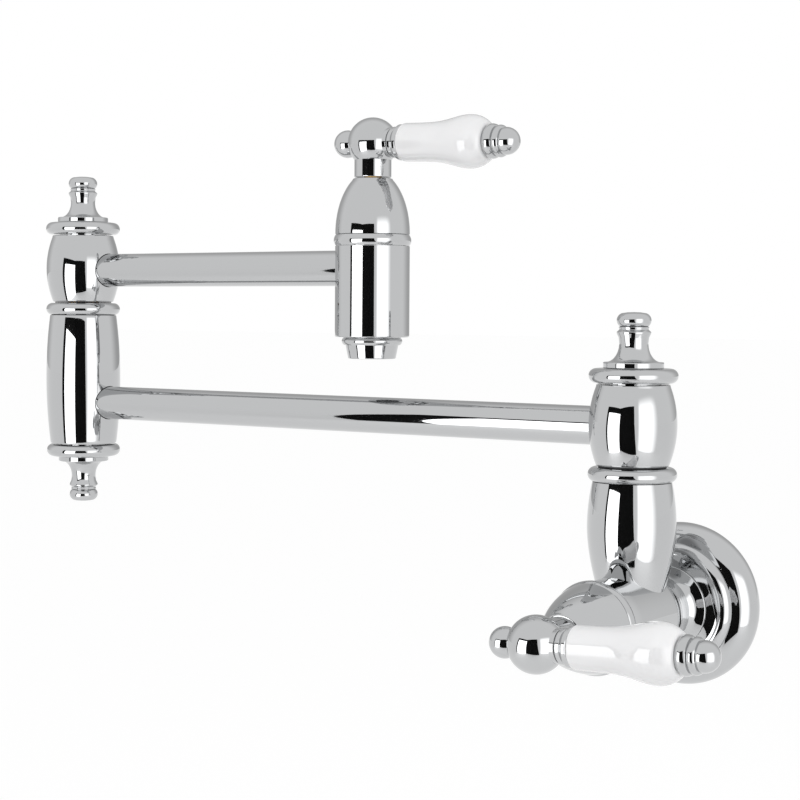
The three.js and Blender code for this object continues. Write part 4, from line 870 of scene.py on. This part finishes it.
def sleeve_tree():
    """The sleeve, whose outside follows one rule along the rod: a slim waist that swells into a
    belly and rounds off, with both ends eased. A sheet of rows is rolled up and closed."""
    tree, size = new_tree(
        "sleeve_turned_by_rule",
        "Bore Waist Belly Belly_At Fade Round Foot Head Foot_Edge Head_Edge", "Rows Facets",
    )
    columns = add(tree, "ShaderNodeMath", (size["Facets"], 1), operation="ADD")
    sheet = add(tree, "GeometryNodeMeshGrid", {
        "Size X": 1.0, "Size Y": 1.0, "Vertices X": size["Rows"], "Vertices Y": columns,
    })
    x, y, _ = position(tree)
    last = add(tree, "ShaderNodeMath", (size["Rows"], 1), operation="SUBTRACT")
    share = add(tree, "ShaderNodeMath", (x, 0.5), operation="ADD")
    counted = add(tree, "ShaderNodeMath", (share, last), operation="MULTIPLY")
    row = add(tree, "ShaderNodeMath", [counted], operation="ROUND")
    outer_last = add(tree, "ShaderNodeMath", (last, 2), operation="SUBTRACT")
    climbed = add(tree, "ShaderNodeMapRange", {"Value": row, "From Min": 1, "From Max": outer_last})
    opened = add(tree, "ShaderNodeMath", (row, last), operation="LESS_THAN")
    part = add(tree, "ShaderNodeMath", (climbed, opened), operation="MULTIPLY")
    height = add(tree, "ShaderNodeMapRange", {
        "Value": part, "To Min": size["Foot"], "To Max": size["Head"],
    })
    from_belly = add(tree, "ShaderNodeMath", (height, size["Belly_At"]), operation="SUBTRACT")
    faded = add(tree, "ShaderNodeMath", (from_belly, size["Fade"]), operation="DIVIDE")
    fall = add(tree, "ShaderNodeMath", (faded, faded), operation="MULTIPLY")
    less = add(tree, "ShaderNodeMath", (fall, -1), operation="MULTIPLY")
    swell = add(tree, "ShaderNodeMath", [less], operation="EXPONENT")
    rise = add(tree, "ShaderNodeMath", (size["Belly"], size["Waist"]), operation="SUBTRACT")
    slim = add(tree, "ShaderNodeMath", (rise, swell, size["Waist"]), operation="MULTIPLY_ADD")
    bent = add(tree, "ShaderNodeMath", (from_belly, size["Round"]), operation="DIVIDE")
    root = quarter_arc(tree, bent)
    round_end = add(tree, "ShaderNodeMath", (size["Belly"], root), operation="MULTIPLY")
    past = add(tree, "ShaderNodeMath", (from_belly, 0), operation="GREATER_THAN")
    outside = add(tree, "ShaderNodeMix", {"Factor": past, NUMBER_A: slim, NUMBER_B: round_end},
                  data_type="FLOAT")
    for edge, end, sign in (("Foot_Edge", "Foot", 1), ("Head_Edge", "Head", -1)):
        inward = add(tree, "ShaderNodeMath", (height, size[end]), operation="SUBTRACT")
        depth = add(tree, "ShaderNodeMath", (inward, sign), operation="MULTIPLY")
        near = add(tree, "ShaderNodeMapRange", {
            "Value": depth, "From Max": size[edge], "To Min": 1, "To Max": 0,
        })
        lost = add(tree, "ShaderNodeMath", (1, quarter_arc(tree, near)), operation="SUBTRACT")
        cut = add(tree, "ShaderNodeMath", (lost, size[edge]), operation="MULTIPLY")
        outside = add(tree, "ShaderNodeMath", (outside, cut), operation="SUBTRACT")
    begun = add(tree, "ShaderNodeMath", (row, 0.5), operation="GREATER_THAN")
    top = add(tree, "ShaderNodeMath", (outer_last, 0.5), operation="ADD")
    under_top = add(tree, "ShaderNodeMath", (row, top), operation="LESS_THAN")
    on_outside = add(tree, "ShaderNodeMath", (begun, under_top), operation="MULTIPLY")
    radius = add(tree, "ShaderNodeMix", {
        "Factor": on_outside, NUMBER_A: size["Bore"], NUMBER_B: outside,
    }, data_type="FLOAT")
    angle = add(tree, "ShaderNodeMath", (y, 2 * math.pi), operation="MULTIPLY")
    over = add(tree, "ShaderNodeMath", [angle], operation="COSINE")
    along = add(tree, "ShaderNodeMath", [angle], operation="SINE")
    place = add(tree, "ShaderNodeCombineXYZ", {
        "X": add(tree, "ShaderNodeMath", (radius, over), operation="MULTIPLY"),
        "Y": add(tree, "ShaderNodeMath", (radius, along), operation="MULTIPLY"), "Z": height,
    })
    rolled = add(tree, "GeometryNodeSetPosition", {"Geometry": sheet, "Position": place})
    closed = add(tree, "GeometryNodeMergeByDistance", {"Geometry": rolled, "Distance": 0.001 * MM})
    return ended(tree, size, closed)


sleeve_turned_by_rule = sleeve_tree()


def ridge(start, width, radius):
    """One rounded bead of a cap, as profile points."""
    middle = start + width / 2
    return curve(start, start + width, 16,
                 lambda z: radius - 0.9 * (2 * (z - middle) / width) ** 2)


def handle(prefix, rod, body_name):
    """The three pieces on a lever's rod, by their distances from the middle of its ball."""
    collar = turned(f"{prefix}_lever_collar_turned", rod, [
        (ROD_HOLE, 13.15), (7.5, 13.15, 0.2), (8.2, 14.05, 0.5), (8.2, 15.8, 0.5), (7.5, 16.4, 0.1),
        (8.6, 16.9, 0.1), (9.4, 17.8, 0.6), (9.4, 19.35, 0.4), (8.9, 19.95), (ROD_HOLE, 19.95),
    ], ring=True)
    chromed(collar, body_name, f"{prefix}_lever_collar")
    sleeve = grown(f"{prefix}_lever_sleeve_glazed", sleeve_turned_by_rule, rod, Bore=4.6, Waist=10,
                   Belly=13.8, Belly_At=61, Fade=14, Round=13.9, Foot=20.1, Head=71.2,
                   Foot_Edge=1.2, Head_Edge=0.7, Rows=200, Facets=144, Material=porcelain)
    dress(sleeve, body_name, f"{prefix}_lever_sleeve")
    cap = turned(f"{prefix}_lever_cap_turned", rod, [
        (0, 84.3), (ROD_HOLE, 84.3), (ROD_HOLE, 71.35),
        *ridge(71.35, 5, 8.9), *ridge(76.5, 3.9, 8.2),
        (6.6, 80.55), *arc(0, 81.8, 7, -5, 90, 32)[:-1], (0, 88.8),
    ])
    chromed(cap, body_name, f"{prefix}_lever_cap")
    finish_nodes(steel, f"{prefix}_lever_rod")


handle("wall", WALL_ROD, "wall_lever")
handle("spout", SPOUT_ROD, "spout_lever")


# ------------------------------------------------------------------ grub screws
# Three steel M4 grub screws with a hexagon socket: one in the flange's underside that grips the
# shank, and one in each lever hub's skirt that grips the stem.
def screw_tree():
    """A grub screw: a threaded pin with a hexagon socket sunk in its outer end."""
    tree, size = new_tree("socket_grub_screw", "Radius Inner_End Outer_End Socket Sunk Pitch")
    inner, outer = size["Inner_End"], size["Outer_End"]
    length = add(tree, "ShaderNodeMath", (outer, inner), operation="SUBTRACT")
    middle = halfway(tree, outer, inner)
    pin = add(tree, "GeometryNodeMeshCylinder", {
        "Vertices": 32, "Side Segments": 48, "Radius": size["Radius"], "Depth": length,
    })
    x, y, z = position(tree)
    flank = from_helix(tree, x, y, z, size["Pitch"])
    shrink = add(tree, "ShaderNodeMath", (flank, -0.3, 1), operation="MULTIPLY_ADD")
    cut = add(tree, "ShaderNodeCombineXYZ", {
        "X": add(tree, "ShaderNodeMath", (x, shrink), operation="MULTIPLY"),
        "Y": add(tree, "ShaderNodeMath", (y, shrink), operation="MULTIPLY"), "Z": z,
    })
    threaded = add(tree, "GeometryNodeSetPosition", {"Geometry": pin, "Position": cut})
    placed = add(tree, "GeometryNodeTransform", {
        "Geometry": threaded, "Translation": add(tree, "ShaderNodeCombineXYZ", {"Z": middle}),
    })
    key = add(tree, "GeometryNodeMeshCylinder", {
        "Vertices": 6, "Radius": size["Socket"],
        "Depth": add(tree, "ShaderNodeMath", (size["Sunk"], 2), operation="MULTIPLY"),
    })
    key_at = add(tree, "GeometryNodeTransform", {
        "Geometry": key, "Translation": add(tree, "ShaderNodeCombineXYZ", {"Z": outer}),
    })
    screw = add(tree, "GeometryNodeMeshBoolean", {"Mesh 1": placed, "Mesh 2": key_at},
                operation="DIFFERENCE", solver="EXACT")
    return ended(tree, size, screw)


socket_grub_screw = screw_tree()
for name, place, inner_end, outer_end, body_name in (
    ("flange_set_screw", SCREW_AT, 14.15, 26.9, "wall_set"),
    ("wall_lever_grub_screw", WALL_GRUB, 4.75, 9.15, "wall_lever"),
    ("spout_lever_grub_screw", SPOUT_GRUB, 4.75, 9.15, "spout_lever"),
):
    screw = grown(f"{name}_threaded", socket_grub_screw, place, Radius=2, Inner_End=inner_end,
                  Outer_End=outer_end, Socket=1.15, Sunk=2, Pitch=0.7, Material=steel)
    dress(screw, body_name, name)


# ------------------------------------------------------------------ camera
# A long lens about a metre away, right of the valve and a little above it, as in the photograph.
# Its place and lens were fitted to the photograph, which is 800 pixels wide.
TURN, PITCH, ROLL = math.radians(34.905), math.radians(2.834), math.radians(0.354)
TARGET = Vector((-0.136562, -0.064976, 0.10073))
DISTANCE = 0.960556
FOCAL_PIXELS, PHOTO_PIXELS, SENSOR = 1836.67, 800, 36
camera = new_object("camera", bpy.data.cameras.new("camera"))
bpy.context.scene.camera = camera
ahead = Vector((
    -math.sin(TURN) * math.cos(PITCH), math.cos(TURN) * math.cos(PITCH), -math.sin(PITCH),
))
level = Vector((math.cos(TURN), math.sin(TURN), 0))
above = level.cross(ahead)
right = level * math.cos(ROLL) + above * math.sin(ROLL)
up = above * math.cos(ROLL) - level * math.sin(ROLL)
camera.matrix_world = Matrix((
    (right.x, up.x, -ahead.x, 0), (right.y, up.y, -ahead.y, 0), (right.z, up.z, -ahead.z, 0),
    (0, 0, 0, 1),
))
camera.location = TARGET - ahead * DISTANCE
camera.data.sensor_width = SENSOR
camera.data.lens = FOCAL_PIXELS / PHOTO_PIXELS * SENSOR
camera.data.clip_start = 0.01


# ------------------------------------------------------------------ studio
# A white room and a pale matt floor, with what a photographer stands round polished metal: two
# softboxes left and right of the camera, and black cards that give the metal its dark edges.
LEFT_LINE = ((-872, 308), (-589, 666))    # on the floor, in mm right of and towards the camera
RIGHT_LINE = ((54, 918), (700, 570))
MIDDLE_LINE = ((-640, 700), (-61, 747))
FAR_END = (-0.572, 0.82, 0)               # the way that the camera looks, level
LIGHT_ON_THINGS = 0.85                    # the room's light on a surface; 1 is what is seen of it
FLOOR_GLOW, DIFFUSER_LIGHT, SILK_LIGHT = 0.52, 3.1, 2.2
FLOOR_HEIGHT, FLOOR_REACH = -0.36, 30


def seen_directly(tree):
    """1 for what the camera, a mirror or glass sees, and 0 for light that falls on something."""
    path = add(tree, "ShaderNodeLightPath").outputs
    either = add(tree, "ShaderNodeMath", (path["Is Camera Ray"], path["Is Glossy Ray"]),
                 operation="MAXIMUM")
    return add(tree, "ShaderNodeMath", (either, path["Is Transmission Ray"]), operation="MAXIMUM")


room = bpy.data.worlds.new("white_room")
bpy.context.scene.world = room
room.use_nodes = True
backdrop = room.node_tree.nodes["Background"]
backdrop.inputs["Color"].default_value = (1, 1, 1, 1)
level_of_light = add(room.node_tree, "ShaderNodeMapRange", {
    "Value": seen_directly(room.node_tree), "To Min": LIGHT_ON_THINGS, "To Max": 1,
})
# A mirror sees the room grow greyer towards its far end, down to half its light, which draws the
# edges of the metal.
direction = add(room.node_tree, "ShaderNodeTexCoord").outputs["Generated"]
ahead_share = add(room.node_tree, "ShaderNodeVectorMath", (direction, FAR_END),
                  operation="DOT_PRODUCT").outputs["Value"]
greyer = add(room.node_tree, "ShaderNodeMapRange", {
    "Value": ahead_share, "From Min": 0.25, "From Max": 0.95, "To Max": -0.5,
}, interpolation_type="SMOOTHSTEP")
in_mirror = add(room.node_tree, "ShaderNodeLightPath").outputs["Is Glossy Ray"]
strength = add(room.node_tree, "ShaderNodeMath", (greyer, in_mirror, level_of_light),
               operation="MULTIPLY_ADD")
room.node_tree.links.new(strength.outputs[0], backdrop.inputs["Strength"])


def plain_stage(name, build):
    """A stage material whose surface is what build makes in its tree."""
    material = bpy.data.materials.new(name)
    material.use_nodes = True
    tree = material.node_tree
    tree.nodes.remove(tree.nodes["Principled BSDF"])
    tree.links.new(build(tree).outputs[0], tree.nodes["Material Output"].inputs["Surface"])
    return material


def matt_floor(tree):
    """Pale matt board: white to the camera, with enough of its own shade to hold a shadow."""
    matt = add(tree, "ShaderNodeBsdfDiffuse", {"Color": linear("#c4c4c4")})
    light = add(tree, "ShaderNodeMath", (seen_directly(tree), FLOOR_GLOW), operation="MULTIPLY")
    return add(tree, "ShaderNodeAddShader", (
        matt, add(tree, "ShaderNodeEmission", {"Strength": light}),
    ))


def black_card(tree):
    """Black flock-covered board: swallows nearly all the light that reaches it."""
    return add(tree, "ShaderNodeBsdfDiffuse", {"Color": linear("#1c1c1c")})


def softbox_face(tree):
    """A stretched diffuser close to the metal, evenly bright to its edge."""
    return add(tree, "ShaderNodeEmission", {"Strength": DIFFUSER_LIGHT})


def softbox_glow(tree):
    """A softbox behind loose silk, which fades towards its edges. The card's own map, in metres
    across and up, says where."""
    across, up, _ = add(tree, "ShaderNodeSeparateXYZ", [add(tree, "ShaderNodeUVMap")]).outputs
    shade = None
    for value, low, high in (
        (across, -0.03, 0.1), (across, 0.86, 0.5), (up, -0.44, -0.3), (up, 0.56, 0.34),
    ):
        side = add(tree, "ShaderNodeMapRange", {
            "Value": value, "From Min": low, "From Max": high,
        }, interpolation_type="SMOOTHSTEP")
        shade = add(tree, "ShaderNodeMath", (shade, side), operation="MULTIPLY") if shade else side
    glow = add(tree, "ShaderNodeEmission", {"Strength": SILK_LIGHT})
    return add(tree, "ShaderNodeMixShader", (shade, add(tree, "ShaderNodeBsdfTransparent"), glow))


def card(name, start, end, outline, material, behind=0):
    """An upright card. It stands on the line from start to end, or some mm behind it, and its
    outline is in mm along that line and up. Only light and mirrors meet it."""
    first, last = Vector(start), Vector(end)
    run = (last - first).normalized()
    away = Vector((-run.y, run.x)) * behind
    to_camera = Vector((math.sin(TURN), -math.cos(TURN), 0))
    corners = []
    for along, height in outline:
        spot = first + run * along + away
        corners.append((level * spot.x + to_camera * spot.y + Vector((0, 0, height))) * MM)
    mesh = bpy.data.meshes.new(name)
    mesh.from_pydata(corners, [], [range(len(corners))])
    layer = mesh.uv_layers.new(name="UVMap")
    for loop in mesh.loops:
        along, height = outline[loop.vertex_index]
        layer.data[loop.index].uv = (along * MM, height * MM)
    mesh.materials.append(material)
    piece = new_object(name, mesh)
    piece.visible_camera = False


flock = plain_stage("black_flock_board", black_card)
card("softbox_left", *LEFT_LINE, [(20, 250), (485, 250), (410, -480), (-120, -480)],
     plain_stage("softbox_diffuser", softbox_face))
card("black_card_left", *LEFT_LINE, [(-70, 345), (520, 345), (520, -560), (-230, -560)], flock,
     behind=30)
card("softbox_right", *RIGHT_LINE, [(-40, -450), (-40, 570), (830, 570), (830, -450)],
     plain_stage("softbox_silk", softbox_glow))
card("black_card_middle", *MIDDLE_LINE, [
    (0, 345), (556, 345), (566, 100), (596, -100), (660, -400), (690, -560), (0, -560),
], flock)

floor_mesh = bpy.data.meshes.new("floor")
floor_mesh.from_pydata([
    (x * FLOOR_REACH, y * FLOOR_REACH, FLOOR_HEIGHT)
    for x, y in ((-1, -1), (1, -1), (1, 1), (-1, 1))
], [], [(0, 1, 2, 3)])
floor_mesh.materials.append(plain_stage("pale_matt_floor", matt_floor))
new_object("floor", floor_mesh)

bpy.context.scene.view_settings.view_transform = "Standard"
